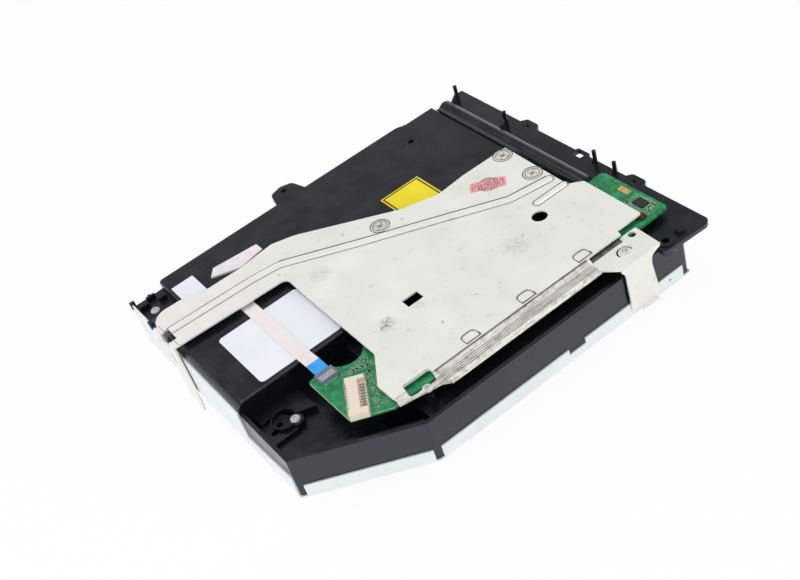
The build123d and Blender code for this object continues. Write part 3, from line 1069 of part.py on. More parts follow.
# Nodes of the disc levers
save("disc_lever_rear", make_lever(LEVER_REAR, (LEVER_PEG_X, SPINDLE_Y + LEVER_PEG_Y)))
save("disc_lever_front", make_lever(LEVER_FRONT, (LEVER_PEG_X, SPINDLE_Y - LEVER_PEG_Y)))
save("lever_clips", *[disc_z(x, y, LEVER_Z - 0.5, LEVER_Z - 0.1, 5.0)
                      - disc_z(x, y, LEVER_Z - 1, LEVER_Z, LEVER_PIN_DIA + 2 * FIT)
                      for x, y in (LEVER_REAR, LEVER_FRONT)])
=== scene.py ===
"""Finishes, printed films, board parts, studio and camera for a console's slot-loading disc drive.

The drive lies with its circuit board up.  +X points to the disc slot, +Y to the back edge and
+Z to the board side, in metres, with the origin on the outside face of the cover.
"""
from __future__ import annotations

import json
import logging
import math
from dataclasses import dataclass, field
from enum import Enum

import bmesh
import bpy
from mathutils import Matrix, Vector

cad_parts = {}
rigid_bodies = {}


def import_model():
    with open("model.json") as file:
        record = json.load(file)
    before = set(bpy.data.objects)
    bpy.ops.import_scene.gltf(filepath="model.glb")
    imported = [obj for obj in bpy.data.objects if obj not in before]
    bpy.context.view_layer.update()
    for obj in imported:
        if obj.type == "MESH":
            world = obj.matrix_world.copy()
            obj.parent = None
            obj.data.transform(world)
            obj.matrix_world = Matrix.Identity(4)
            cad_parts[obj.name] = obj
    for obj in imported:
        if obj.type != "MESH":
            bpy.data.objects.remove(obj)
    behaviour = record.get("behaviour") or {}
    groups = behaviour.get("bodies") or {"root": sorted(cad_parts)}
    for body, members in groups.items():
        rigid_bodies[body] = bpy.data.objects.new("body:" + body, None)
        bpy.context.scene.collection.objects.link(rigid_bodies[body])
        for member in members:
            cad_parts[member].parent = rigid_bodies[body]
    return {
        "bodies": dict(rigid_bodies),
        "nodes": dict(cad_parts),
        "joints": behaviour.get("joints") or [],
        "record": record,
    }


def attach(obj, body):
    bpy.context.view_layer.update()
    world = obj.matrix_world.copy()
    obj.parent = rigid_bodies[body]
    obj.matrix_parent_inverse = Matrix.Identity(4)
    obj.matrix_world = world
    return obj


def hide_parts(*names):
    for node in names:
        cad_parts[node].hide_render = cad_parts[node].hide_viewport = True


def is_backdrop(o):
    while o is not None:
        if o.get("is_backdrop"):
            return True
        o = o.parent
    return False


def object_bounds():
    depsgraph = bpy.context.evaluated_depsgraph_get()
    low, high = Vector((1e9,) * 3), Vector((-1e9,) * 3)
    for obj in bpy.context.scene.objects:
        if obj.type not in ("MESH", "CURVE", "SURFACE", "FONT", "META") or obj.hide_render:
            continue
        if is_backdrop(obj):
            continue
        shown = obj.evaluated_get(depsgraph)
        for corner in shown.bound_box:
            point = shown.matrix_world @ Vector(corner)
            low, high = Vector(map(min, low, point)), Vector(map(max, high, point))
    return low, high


log = logging.getLogger("optical_drive")

MM = 0.001
Point = tuple[float, float]
Place = tuple[float, float, float]


class Layer(Enum):
    """Heights of the faces that small parts stand on, in millimetres above the cover."""

    COVER_FACE = 1.2
    CASE_SEAT = 15.0
    HOOKS = 21.0
    BOARD = 26.2
    CLIP = 27.0
    BRACKET = 29.3


def linear(colour: str) -> tuple[float, float, float, float]:
    """Turns an sRGB hex colour into linear light.

    Args:
        colour: six hex digits after a hash sign.

    Returns:
        Red, green, blue and an alpha of 1.
    """
    parts = [int(colour[i:i + 2], 16) / 255 for i in (1, 3, 5)]
    light = [c / 12.92 if c <= 0.04045 else ((c + 0.055) / 1.055) ** 2.4 for c in parts]
    return (light[0], light[1], light[2], 1.0)


def add_node(tree: bpy.types.NodeTree, kind: str, inputs: dict | None = None,
             **settings: object) -> bpy.types.Node:
    """Adds one node, with its settings, its input values and its links.

    Args:
        tree: the node tree that takes the node.
        kind: the node's type name.
        inputs: for each input's name or number, a value or the socket that feeds it.
        **settings: properties of the node itself.

    Returns:
        The new node.
    """
    node = tree.nodes.new(kind)
    for name, value in settings.items():
        setattr(node, name, value)
    for key, value in (inputs or {}).items():
        if isinstance(value, bpy.types.NodeSocket):
            tree.links.new(value, node.inputs[key])
        else:
            node.inputs[key].default_value = value
    return node


@dataclass(frozen=True)
class Finish:
    """One surface finish, drawn in the piece's own coordinates."""

    name: str
    colour: str
    roughness: float
    tone: str = ""
    metallic: float = 0.0
    ior: float = 1.5
    specular: float = 0.5
    grain_mm: float = 0.5
    grain_depth_mm: float = 0.01
    mottle_mm: float = 25.0
    roughness_spread: float = 0.08

    def material(self) -> bpy.types.Material:
        """Builds the material once and returns it after that."""
        known = bpy.data.materials.get(self.name)
        if known:
            return known
        material = bpy.data.materials.new(self.name)
        material.use_nodes = True
        tree = material.node_tree
        tree.nodes.clear()
        place = add_node(tree, "ShaderNodeTexCoord").outputs["Object"]
        shader = add_node(tree, "ShaderNodeBsdfPrincipled", {
            "Metallic": self.metallic, "Roughness": self.roughness})
        if self.metallic < 1.0:
            shader.inputs["IOR"].default_value = self.ior
            shader.inputs["Specular IOR Level"].default_value = self.specular
        tree.links.new(self.colour_of(tree, place), shader.inputs["Base Color"])
        tree.links.new(self.roughness_of(tree, place), shader.inputs["Roughness"])
        tree.links.new(self.bump_of(tree, place), shader.inputs["Normal"])
        self.extra(shader)
        add_node(tree, "ShaderNodeOutputMaterial", {"Surface": shader.outputs[0]})
        material.diffuse_color = linear(self.colour)
        return material

    def noise(self, tree: bpy.types.NodeTree, place: bpy.types.NodeSocket, size_mm: float,
              detail: float = 3.0) -> bpy.types.NodeSocket:
        """Returns a smooth noise whose lumps are about size_mm across."""
        return add_node(tree, "ShaderNodeTexNoise", {
            "Vector": place, "Scale": 1.0 / (size_mm * MM), "Detail": detail}).outputs["Fac"]

    def remap(self, tree: bpy.types.NodeTree, value: bpy.types.NodeSocket, low: float, high: float,
              to_low: float, to_high: float) -> bpy.types.NodeSocket:
        """Returns value moved from one range to another and held inside it."""
        return add_node(tree, "ShaderNodeMapRange", {
            "Value": value, "From Min": low, "From Max": high, "To Min": to_low,
            "To Max": to_high}).outputs["Result"]

    def blend(self, tree: bpy.types.NodeTree, share: object, first: object,
              second: object) -> bpy.types.NodeSocket:
        """Returns a mix of two colours."""
        return add_node(tree, "ShaderNodeMix", {0: share, 6: first, 7: second},
                        data_type="RGBA").outputs[2]

    def sum_up(self, tree: bpy.types.NodeTree, kind: str, first: object,
               second: object) -> bpy.types.NodeSocket:
        """Returns the result of one sum on two numbers."""
        return add_node(tree, "ShaderNodeMath", {0: first, 1: second},
                        operation=kind).outputs[0]

    def colour_of(self, tree: bpy.types.NodeTree,
                  place: bpy.types.NodeSocket) -> bpy.types.NodeSocket:
        """Returns the colour: a slow drift between the main colour and its second tone."""
        drift = self.remap(tree, self.noise(tree, place, self.mottle_mm), 0.35, 0.65, 0.0, 1.0)
        return self.blend(tree, drift, linear(self.colour), linear(self.tone or self.colour))

    def roughness_of(self, tree: bpy.types.NodeTree,
                     place: bpy.types.NodeSocket) -> bpy.types.NodeSocket:
        """Returns the roughness, which handling has made uneven."""
        smear = self.noise(tree, place, self.mottle_mm * 0.4, 4.0)
        return self.remap(tree, smear, 0.3, 0.7, self.roughness - self.roughness_spread,
                          self.roughness + self.roughness_spread)

    def bump_of(self, tree: bpy.types.NodeTree,
                place: bpy.types.NodeSocket) -> bpy.types.NodeSocket:
        """Returns the surface normal with its grain."""
        return add_node(tree, "ShaderNodeBump", {
            "Height": self.noise(tree, place, self.grain_mm), "Strength": 1.0,
            "Distance": self.grain_depth_mm * MM}).outputs["Normal"]

    def extra(self, shader: bpy.types.Node) -> None:
        """Sets what else this finish has on the shader; nothing here."""


@dataclass(frozen=True)
class MouldedPlastic(Finish):
    """Injection moulded black plastic with fine spark texture, dust and light scuffs."""

    dust: str = "#8a9096"
    dust_cell_mm: float = 7.0
    dust_size: float = 0.045

    def colour_of(self, tree: bpy.types.NodeTree,
                  place: bpy.types.NodeSocket) -> bpy.types.NodeSocket:
        """Returns the plastic's colour with specks of dust on it."""
        base = super().colour_of(tree, place)
        cells = add_node(tree, "ShaderNodeTexVoronoi", {
            "Vector": place, "Scale": 1.0 / (self.dust_cell_mm * MM)}).outputs["Distance"]
        speck_and_shade = self.remap(tree, cells, self.dust_size * 0.6, self.dust_size, 0.55, 0.0)
        return self.blend(tree, speck_and_shade, base, linear(self.dust))

    def extra(self, shader: bpy.types.Node) -> None:
        """Gives the sheen of black plastic its cool cast."""
        shader.inputs["Specular Tint"].default_value = linear("#e3ebf7")


@dataclass(frozen=True)
class SheetSteel(Finish):
    """Cold rolled sheet with a metal coating, faint rolling lines, smudges and specks."""

    smudge: str = "#b9b8b2"
    smudge_share: float = 0.45
    speck_and_shade: str = "#77756f"
    speck_cell_mm: float = 11.0
    speck_size: float = 0.035
    smudge_mm: float = 5.0
    scratch_share: float = 0.0
    stains_and_seat_shade: tuple[tuple[float, float, float, float], ...] = ()
    spot_height: float = 29.3
    worn_strip: tuple[float, float] | None = None
    worn: str = "#8b8778"
    warm: str = ""
    warm_from_x: float = -40.0
    warm_to_x: float = -95.0

    def colour_of(self, tree: bpy.types.NodeTree,
                  place: bpy.types.NodeSocket) -> bpy.types.NodeSocket:
        """Returns the coating's colour, smudged in patches and specked."""
        base = super().colour_of(tree, place)
        patch = self.remap(tree, self.noise(tree, place, self.smudge_mm, 10.0), 0.6, 0.74, 0.0,
                           self.smudge_share)
        where = self.remap(tree, self.noise(tree, place, 26.0), 0.42, 0.6, 0.1, 1.0)
        mixed = self.blend(tree, self.sum_up(tree, "MULTIPLY", patch, where), base,
                           linear(self.smudge))
        if self.scratch_share:
            mixed = self.scratched(tree, place, mixed)
        if self.stains_and_seat_shade:
            mixed = self.stained_and_shaded(tree, place, mixed)
        if self.worn_strip:
            mixed = self.worn_down(tree, place, mixed)
        cells = add_node(tree, "ShaderNodeTexVoronoi", {
            "Vector": place, "Scale": 1.0 / (self.speck_cell_mm * MM)}).outputs["Distance"]
        mark = self.remap(tree, cells, self.speck_size * 0.5, self.speck_size, 0.7, 0.0)
        marked = self.blend(tree, mark, mixed, linear(self.speck_and_shade))
        if not self.warm:
            return marked
        along = add_node(tree, "ShaderNodeSeparateXYZ", {0: place}).outputs[0]
        share = self.remap(tree, along, self.warm_from_x * MM, self.warm_to_x * MM, 0.0, 1.0)
        return self.blend(tree, share, marked, linear(self.warm))

    def scratched(self, tree: bpy.types.NodeTree, place: bpy.types.NodeSocket,
                  base: bpy.types.NodeSocket) -> bpy.types.NodeSocket:
        """Returns the colour with a few short fine scratches, in two directions."""
        for turn in (0.5, -0.9):
            turned = add_node(tree, "ShaderNodeMapping", {
                "Vector": place, "Rotation": (0.0, 0.0, turn), "Scale": (0.12, 1.0, 1.0)})
            line = self.remap(tree, self.noise(tree, turned.outputs[0], 1.1, 2.0), 0.76, 0.8,
                              0.0, self.scratch_share)
            base = self.blend(tree, line, base, linear(self.speck_and_shade))
        return base

    def stained_and_shaded(self, tree: bpy.types.NodeTree, place: bpy.types.NodeSocket,
                base: bpy.types.NodeSocket) -> bpy.types.NodeSocket:
        """Returns the colour with dark spots, each given by x, y, radius and strength: rubbed
        stains, and painted shade in the seat cups round the studs.
        """
        spot_breakup = self.remap(tree, self.noise(tree, place, 1.3, 6.0), 0.4, 0.6, 0.15, 1.0)
        for x, y, radius, share in self.stains_and_seat_shade:
            away = add_node(tree, "ShaderNodeVectorMath", {
                0: place, 1: Vector((x, y, self.spot_height)) * MM}, operation="DISTANCE")
            near = self.remap(tree, away.outputs["Value"], radius * 0.35 * MM, radius * MM,
                              share, 0.0)
            base = self.blend(tree, self.sum_up(tree, "MULTIPLY", near, spot_breakup), base,
                              linear(self.speck_and_shade))
        return base

    def worn_down(self, tree: bpy.types.NodeTree, place: bpy.types.NodeSocket,
                  base: bpy.types.NodeSocket) -> bpy.types.NodeSocket:
        """Returns the colour with a streaky, rubbed strip along the front edge."""
        axes = add_node(tree, "ShaderNodeSeparateXYZ", {0: place})
        start, end = self.worn_strip
        inside = self.remap(tree, axes.outputs[1], (start + 0.4) * MM, start * MM, 0.0, 1.0)
        before = self.remap(tree, axes.outputs[0], (end - 1.0) * MM, end * MM, 1.0, 0.0)
        flat = add_node(tree, "ShaderNodeMapping", {"Vector": place, "Scale": (0.1, 1.0, 1.0)})
        streak = self.remap(tree, self.noise(tree, flat.outputs[0], 0.9, 5.0), 0.35, 0.65,
                            0.1, 0.85)
        blotch = self.remap(tree, self.noise(tree, place, 2.2, 6.0), 0.4, 0.62, 0.35, 1.0)
        share = self.sum_up(tree, "MULTIPLY", self.sum_up(tree, "MULTIPLY", inside, before),
                            self.sum_up(tree, "MULTIPLY", streak, blotch))
        return self.blend(tree, share, base, linear(self.worn))

    def bump_of(self, tree: bpy.types.NodeTree,
                place: bpy.types.NodeSocket) -> bpy.types.NodeSocket:
        """Returns the normal with rolling lines along X."""
        stretched = add_node(tree, "ShaderNodeMapping", {
            "Vector": place, "Scale": (0.04, 1.0, 1.0)}).outputs[0]
        lines = self.noise(tree, stretched, self.grain_mm)
        return add_node(tree, "ShaderNodeBump", {
            "Height": lines, "Strength": 1.0,
            "Distance": self.grain_depth_mm * MM}).outputs["Normal"]


@dataclass(frozen=True)
class SolderMask(Finish):
    """Green lacquer over etched copper: the tracks show as paler, slightly raised lines."""

    track: str = "#46b57c"
    track_cell_mm: float = 2.4

    def tracks(self, tree: bpy.types.NodeTree,
               place: bpy.types.NodeSocket) -> bpy.types.NodeSocket:
        """Returns 1 on a track and 0 beside it."""
        edge = add_node(tree, "ShaderNodeTexVoronoi", {
            "Vector": place, "Scale": 1.0 / (self.track_cell_mm * MM), "Randomness": 0.75},
            distance="CHEBYCHEV", feature="F1").outputs["Distance"]
        return self.remap(tree, edge, 0.42, 0.5, 0.0, 1.0)

    def colour_of(self, tree: bpy.types.NodeTree,
                  place: bpy.types.NodeSocket) -> bpy.types.NodeSocket:
        """Returns the lacquer's green with the tracks under it."""
        base = super().colour_of(tree, place)
        share = self.sum_up(tree, "MULTIPLY", self.tracks(tree, place), 0.35)
        return self.blend(tree, share, base, linear(self.track))

    def bump_of(self, tree: bpy.types.NodeTree,
                place: bpy.types.NodeSocket) -> bpy.types.NodeSocket:
        """Returns the normal with the tracks raised."""
        return add_node(tree, "ShaderNodeBump", {
            "Height": self.tracks(tree, place), "Strength": 0.6,
            "Distance": 0.02 * MM}).outputs["Normal"]


@dataclass(frozen=True)
class FramedFilm(Finish):
    """Printed film with two plain border lines round its edge and nothing else on it."""

    ink: str = "#1c1a10"
    centre: Point = (0.0, 0.0)
    half: Point = (10.0, 10.0)
    line_inset: float = 0.6
    line_width: float = 0.9

    def colour_of(self, tree: bpy.types.NodeTree,
                  place: bpy.types.NodeSocket) -> bpy.types.NodeSocket:
        """Returns the film's colour with its border printed on."""
        base = super().colour_of(tree, place)
        axes = add_node(tree, "ShaderNodeSeparateXYZ", {0: place})
        gaps = []
        for i in range(2):
            shifted = self.sum_up(tree, "SUBTRACT", axes.outputs[i], self.centre[i] * MM)
            size = self.sum_up(tree, "ABSOLUTE", shifted, 0.0)
            gaps.append(self.sum_up(tree, "SUBTRACT", self.half[i] * MM, size))
        gap = self.sum_up(tree, "MINIMUM", gaps[0], gaps[1])
        middle = (self.line_inset + self.line_width / 2) * MM
        away = self.sum_up(tree, "ABSOLUTE", self.sum_up(tree, "SUBTRACT", gap, middle), 0.0)
        reach = self.line_width / 2 * MM
        share = self.remap(tree, away, reach * 0.85, reach, 0.95, 0.0)
        return self.blend(tree, share, base, linear(self.ink))


@dataclass(frozen=True)
class FlatCableFilm(Finish):
    """Polyester film over flat copper conductors, seen as faint lines along the cable."""

    conductor: str = "#e9dfe0"
    pitch_mm: float = 0.5

    def colour_of(self, tree: bpy.types.NodeTree,
                  place: bpy.types.NodeSocket) -> bpy.types.NodeSocket:
        """Returns the film's colour with the conductors showing through."""
        base = super().colour_of(tree, place)
        along = add_node(tree, "ShaderNodeSeparateXYZ", {0: place}).outputs[0]
        turns = self.sum_up(tree, "MULTIPLY", along, 2 * math.pi / (self.pitch_mm * MM))
        wave = self.sum_up(tree, "SINE", turns, 0.0)
        share = self.remap(tree, wave, -0.3, 0.5, 0.0, 0.55)
        return self.blend(tree, share, base, linear(self.conductor))


@dataclass(frozen=True)
class ClearGlass(Finish):
    """Coated lens glass with a faint blue cast."""

    def extra(self, shader: bpy.types.Node) -> None:
        """Lets light through the lens."""
        shader.inputs["Transmission Weight"].default_value = 0.85


class Palette:
    """Every finish of the drive, each named for what the real one is made of."""

    # ABS, moulded with a fine spark texture: near black, and greenish grey in the light
    chassis = MouldedPlastic("black_abs", "#0b0f12", 0.27, "#101519", specular=0.8,
                             grain_mm=0.35, grain_depth_mm=0.0015)
    # Acetal moulded black, with a waxy sheen
    black_acetal = MouldedPlastic("black_acetal", "#101112", 0.42, "#17191a", specular=0.4,
                                  dust_size=0.02)
    # Hot-dip galvanised sheet: pale blue grey
    cover = SheetSteel("galvanised_sheet", "#eff4f5", 0.42, "#e6edef", metallic=0.2,
                       grain_mm=0.5, grain_depth_mm=0.004, smudge_share=0.12)
    # Tinned sheet: warm white with a satin shine, rubbed stains, and painted shade darkening its
    # four seat cups
    bracket = SheetSteel("tinned_sheet", "#f4f4ee", 0.38, "#eeeee8", metallic=0.18,
                         grain_mm=0.4, grain_depth_mm=0.003, smudge="#bdb9a8",
                         smudge_share=0.5, warm="#f3f0ec", scratch_share=0.5,
                         worn_strip=(-69.0, 47.5), stains_and_seat_shade=(
                             (-29.4, -31.9, 4.2, 0.75), (-32.0, -33.8, 2.6, 0.9),
                             (-31.0, 17.8, 6.0, 0.3), (34.1, -38.6, 7.5, 0.28),
                             (-13.9, -34.1, 3.4, 0.3), (5.2, -48.8, 0.9, 0.9),
                             (15.5, -51.0, 0.9, 0.8), (-14.4, -50.2, 1.1, 0.8),
                             (-9.3, 31.7, 1.2, 0.8), (14.6, 17.6, 1.0, 0.7),
                             (-43.5, 33.1, 0.8, 0.7), (40.8, -35.9, 1.2, 0.7),
                             # Painted shade: the last four spots darken the recessed seat cups
                             # round the studs
                             (5.3, 22.2, 4.6, 0.6), (71.7, 15.0, 4.6, 0.35),
                             (71.3, -6.7, 4.6, 0.35), (54.0, 4.0, 4.8, 0.5)))
    # Nickel plated screw steel
    screw = Finish("nickel_plate", "#f1f0eb", 0.3, "#dddcd6", metallic=0.45, mottle_mm=2.0)
    # Solder mask on glass epoxy
    board = SolderMask("solder_mask", "#20854f", 0.34, "#187446", specular=0.5, mottle_mm=9.0)
    # Tin on copper pads: small bright dots
    pads = Finish("tinned_pads", "#e4ead9", 0.35, "#b9c4b0", metallic=0.3, mottle_mm=1.0)
    # Cut edge of glass epoxy, pale green
    rim = Finish("epoxy_cut_edge", "#b7cdb9", 0.6, "#9dbba2", mottle_mm=3.0)
    # Tin plated pins, shaded by the housing round them
    pins = Finish("tinned_pins", "#bcaea6", 0.4, "#9c9089", metallic=0.5, mottle_mm=1.0)
    # Nylon, ivory
    ivory = Finish("ivory_nylon", "#f0e2d2", 0.5, "#e8d7c4", mottle_mm=6.0, grain_mm=0.3)
    # Nylon, dark grey
    socket = Finish("grey_nylon", "#7b8294", 0.45, "#666d80", mottle_mm=5.0)
    # Filled epoxy of a chip's body
    epoxy = Finish("chip_epoxy", "#1b1b1d", 0.55, "#242326", mottle_mm=3.0, grain_mm=0.08)
    # Gold flash over nickel
    gold = Finish("gold_flash", "#f8dfa0", 0.3, "#efc268", metallic=0.6, mottle_mm=1.5)
    # Fired ceramic of chip capacitors
    ceramic = Finish("fired_ceramic", "#7a6a55", 0.5, "#4d4338", mottle_mm=1.2)
    # Ferrite and copper of a small choke
    choke = Finish("copper_choke", "#7a4526", 0.35, "#4d2a1c", metallic=0.6, mottle_mm=1.2)
    # Thermal silicone
    silicone = Finish("thermal_silicone", "#8fa6bd", 0.7, "#8199b1", mottle_mm=4.0)
    # Polyester flat cable
    cable = FlatCableFilm("flat_cable_film", "#f2eeec", 0.42, "#f3e6e6", mottle_mm=14.0)
    # Blue polyester stiffener at the cable's end
    blue_film = Finish("blue_stiffener", "#1a9af0", 0.35, "#35aaf4", mottle_mm=4.0)
    # Synthetic paper
    white_label = Finish("white_label_film", "#edf1f7", 0.55, "#e8ecf4", mottle_mm=22.0,
                         grain_mm=0.3, grain_depth_mm=0.003)
    # Yellow film
    yellow_label = FramedFilm("yellow_label_film", "#f4e11e", 0.42, "#efd90f",
                              centre=(28.9, 30.1), half=(10.8, 11.1))
    # Pinkish film with a crease
    pink_label = Finish("pink_label_film", "#f3eef1", 0.5, "#e6dee3", mottle_mm=5.0)
    # Natural acetal
    acetal = Finish("natural_acetal", "#dcd9cf", 0.42, "#d2cfc4", mottle_mm=9.0)
    # Zinc plated sheet
    zinc = SheetSteel("zinc_sheet", "#b4b7b9", 0.38, "#a7abad", metallic=1.0, smudge_share=0.2)
    # Ground steel
    ground = Finish("ground_steel", "#c2c4c5", 0.2, "#b6b8b9", metallic=1.0, mottle_mm=6.0)
    # Die cast carriage
    cast = Finish("die_cast", "#84868a", 0.5, "#76787c", metallic=0.9, grain_mm=0.6,
                  grain_depth_mm=0.02)
    # Rubber
    rubber = Finish("roller_rubber", "#191919", 0.75, "#222222", specular=0.3, mottle_mm=6.0)
    # Lens
    glass = ClearGlass("lens_glass", "#cfe0ff", 0.05, "#d7e6ff", roughness_spread=0.01)
    # Red ink, rubbed thin on the metal, and the darker ink of its lines
    stamp_film = Finish("worn_stamp_film", "#e08790", 0.5, "#efe3df", mottle_mm=1.3)
    stamp_ink = Finish("stamp_ink", "#d4505e", 0.55, "#e08c95", mottle_mm=1.4)
    # Painted shade: dark grey-tan lines in the pressed grooves round the beads, seat rings and tab
    # cuts, and at the strip's steps, and a sheet over the shaded gap by the clip
    groove_shade = Finish("press_grime", "#85837b", 0.6, "#54524c", mottle_mm=5.0)
    # Darker painted shade in the deepest cuts: the tab fronts, the bead's rear side and the seam
    deep_shade = Finish("packed_grease", "#2f2e2a", 0.7, "#45433d", mottle_mm=3.0)


# Each node, with the finish that it takes
NODE_FINISHES: dict[str, Finish] = {
    "chassis": Palette.chassis, "lower_disc_guide": Palette.black_acetal,
    "bottom_cover": Palette.cover, "shield_bracket": Palette.bracket,
    "ground_bracket": Palette.bracket, "main_circuit_board": Palette.board,
    "sensor_board": Palette.board, "board_connector": Palette.ivory,
    "connector_pins": Palette.pins, "ribbon_socket": Palette.socket,
    "controller_chip": Palette.epoxy, "driver_chip": Palette.epoxy,
    "thermal_pad": Palette.silicone, "sensor_chip": Palette.epoxy,
    "gold_contact": Palette.gold, "motor_ribbon_cable": Palette.cable,
    "ribbon_stiffener": Palette.blue_film, "label_white_large": Palette.white_label,
    "label_white_small": Palette.white_label, "label_yellow": Palette.yellow_label,
    "label_folded": Palette.pink_label, "hinge_pin": Palette.ground,
    "loading_motor": Palette.zinc, "disc_sensors": Palette.epoxy,
    "lever_clips": Palette.acetal, "traverse_frame": Palette.black_acetal,
    "guide_rods": Palette.ground, "spindle_motor": Palette.zinc, "sled_motor": Palette.zinc,
    "spindle_rotor": Palette.zinc, "turntable": Palette.black_acetal,
    "pickup_sled": Palette.cast, "feed_nut": Palette.acetal, "pickup_shield": Palette.zinc,
    "lens_holder": Palette.black_acetal, "objective_lens": Palette.glass,
    "lead_screw": Palette.ground, "cam_slide": Palette.acetal,
    "clamp_puck": Palette.black_acetal, "clamp_cap": Palette.black_acetal,
    "clamp_magnet": Palette.ground, "roller_carrier": Palette.zinc,
    "feed_roller_shaft": Palette.ground, "feed_roller_rubber": Palette.rubber,
    "feed_roller_gear": Palette.acetal, "idler_gear": Palette.acetal,
    "worm_wheel": Palette.acetal, "loading_worm": Palette.ground,
    "disc_lever_rear": Palette.black_acetal, "disc_lever_front": Palette.black_acetal,
    "cover_screws": Palette.screw, "bracket_screws": Palette.screw,
    "case_screws": Palette.screw, "small_components": Palette.ceramic,
}


def slot_of(record: dict, node: str) -> str:
    """Returns the record's material slot of a node."""
    return next(row["material_slot"] for row in record["subparts"] if row["node"] == node)


def wear(piece: bpy.types.Object, finish: Finish) -> None:
    """Gives every face of a piece one finish."""
    piece.data.materials.clear()
    piece.data.materials.append(finish.material())


def link(name: str, mesh: bpy.types.Mesh) -> bpy.types.Object:
    """Puts a mesh in the scene as an object at the origin."""
    piece = bpy.data.objects.new(name, mesh)
    bpy.context.scene.collection.objects.link(piece)
    return piece


def mesh_object(name: str, points: list[Place], faces: list[tuple[int, ...]]) -> bpy.types.Object:
    """Makes a mesh piece from points in millimetres.

    Args:
        name: the piece's name.
        points: its corners, in millimetres.
        faces: its faces, as corner numbers.

    Returns:
        The piece, at the origin, in metres.
    """
    mesh = bpy.data.meshes.new(name)
    mesh.from_pydata([Vector(p) * MM for p in points], [], faces)
    mesh.update()
    return link(name, mesh)


def prism(name: str, outline: list[Point], low: float, high: float,
          bevel: float = 0.0) -> bpy.types.Object:
    """Makes an upright prism with softened edges.

    Args:
        name: the piece's name.
        outline: its plan, in millimetres, in either order.
        low: the height of its foot.
        high: the height of its top.
        bevel: the width of its softened edges.

    Returns:
        The piece.
    """
    count = len(outline)
    points = [(x, y, low) for x, y in outline] + [(x, y, high) for x, y in outline]
    faces = [tuple(range(count)), tuple(range(count, 2 * count))]
    faces += [(i, (i + 1) % count, count + (i + 1) % count, count + i) for i in range(count)]
    piece = mesh_object(name, points, faces)
    shape = bmesh.new()
    shape.from_mesh(piece.data)
    bmesh.ops.recalc_face_normals(shape, faces=shape.faces)
    if bevel:
        bmesh.ops.bevel(shape, geom=list(shape.edges), offset=bevel * MM, segments=2,
                        profile=0.7, affect="EDGES")
    shape.to_mesh(piece.data)
    shape.free()
    return piece


def turned_box(centre: Point, size: Point, degrees: float) -> list[Point]:
    """Returns the four corners of a turned rectangle in plan."""
    angle = math.radians(degrees)
    cos, sin = math.cos(angle), math.sin(angle)
    corners = []
    for i, j in ((-1, -1), (1, -1), (1, 1), (-1, 1)):
        x, y = i * size[0] / 2, j * size[1] / 2
        corners.append((centre[0] + x * cos - y * sin, centre[1] + x * sin + y * cos))
    return corners


class Growth:
    """A node tree that turns a few points or faces into repeated detail."""

    def __init__(self, name: str, finish: Finish) -> None:
        """Starts the tree with its geometry sockets."""
        self.name = name
        self.finish = finish
        self.tree = bpy.data.node_groups.new(name, "GeometryNodeTree")
        for way in ("INPUT", "OUTPUT"):
            self.tree.interface.new_socket("Geometry", in_out=way,
                                           socket_type="NodeSocketGeometry")
        self.given = add_node(self.tree, "NodeGroupInput")

    def ask(self, label: str, default: float, whole: bool = False) -> bpy.types.NodeSocket:
        """Adds a named input with its default and returns the socket that carries it."""
        kind = "NodeSocketInt" if whole else "NodeSocketFloat"
        socket = self.tree.interface.new_socket(label, in_out="INPUT", socket_type=kind)
        socket.default_value = default
        return self.given.outputs[label]

    def node(self, kind: str, inputs: dict | None = None,
             **settings: object) -> bpy.types.Node:
        """Adds a node to this tree."""
        return add_node(self.tree, kind, inputs, **settings)

    def vector(self, x: object, y: object, z: object) -> bpy.types.NodeSocket:
        """Returns a vector made of three numbers."""
        return self.node("ShaderNodeCombineXYZ", {0: x, 1: y, 2: z}).outputs[0]

    def times(self, value: bpy.types.NodeSocket, factor: object) -> bpy.types.NodeSocket:
        """Returns a value times a factor."""
        return self.node("ShaderNodeMath", {0: value, 1: factor}, operation="MULTIPLY").outputs[0]

    def raised(self, shape: bpy.types.NodeSocket, height: object) -> bpy.types.NodeSocket:
        """Returns a shape moved up by a height."""
        return self.node("GeometryNodeTransform", {
            "Geometry": shape, "Translation": self.vector(0.0, 0.0, height)}).outputs[0]

    def end(self, instances: bpy.types.NodeSocket) -> None:
        """Closes the tree: real faces with the finish on them."""
        real = self.node("GeometryNodeRealizeInstances", {"Geometry": instances})
        dressed = self.node("GeometryNodeSetMaterial", {
            "Geometry": real.outputs[0], "Material": self.finish.material()})
        self.node("NodeGroupOutput", {0: dressed.outputs[0]})

    def grow(self, host: bpy.types.Object, body: str, slot: str,
             **values: float) -> bpy.types.Object:
        """Runs the tree on a host mesh and keeps the result as a plain mesh.

        Args:
            host: the points or faces to grow on; it is removed.
            body: the moving body that the piece belongs to.
            slot: the record slot that the finish belongs to; not used.
            **values: sizes for the named inputs, with _ for a space.

        Returns:
            The finished piece, which rides on its body.
        """
        modifier = host.modifiers.new(self.name, "NODES")
        modifier.node_group = self.tree
        for item in self.tree.interface.items_tree:
            key = item.name.replace(" ", "_").lower()
            if item.in_out == "INPUT" and key in values:
                modifier[item.identifier] = values[key]
        graph = bpy.context.evaluated_depsgraph_get()
        mesh = bpy.data.meshes.new_from_object(host.evaluated_get(graph), depsgraph=graph)
        name = host.name
        bpy.data.objects.remove(host)
        piece = link(name, mesh)
        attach(piece, body)
        log.info("%s: %d faces on %s", name, len(mesh.polygons), body)
        return piece


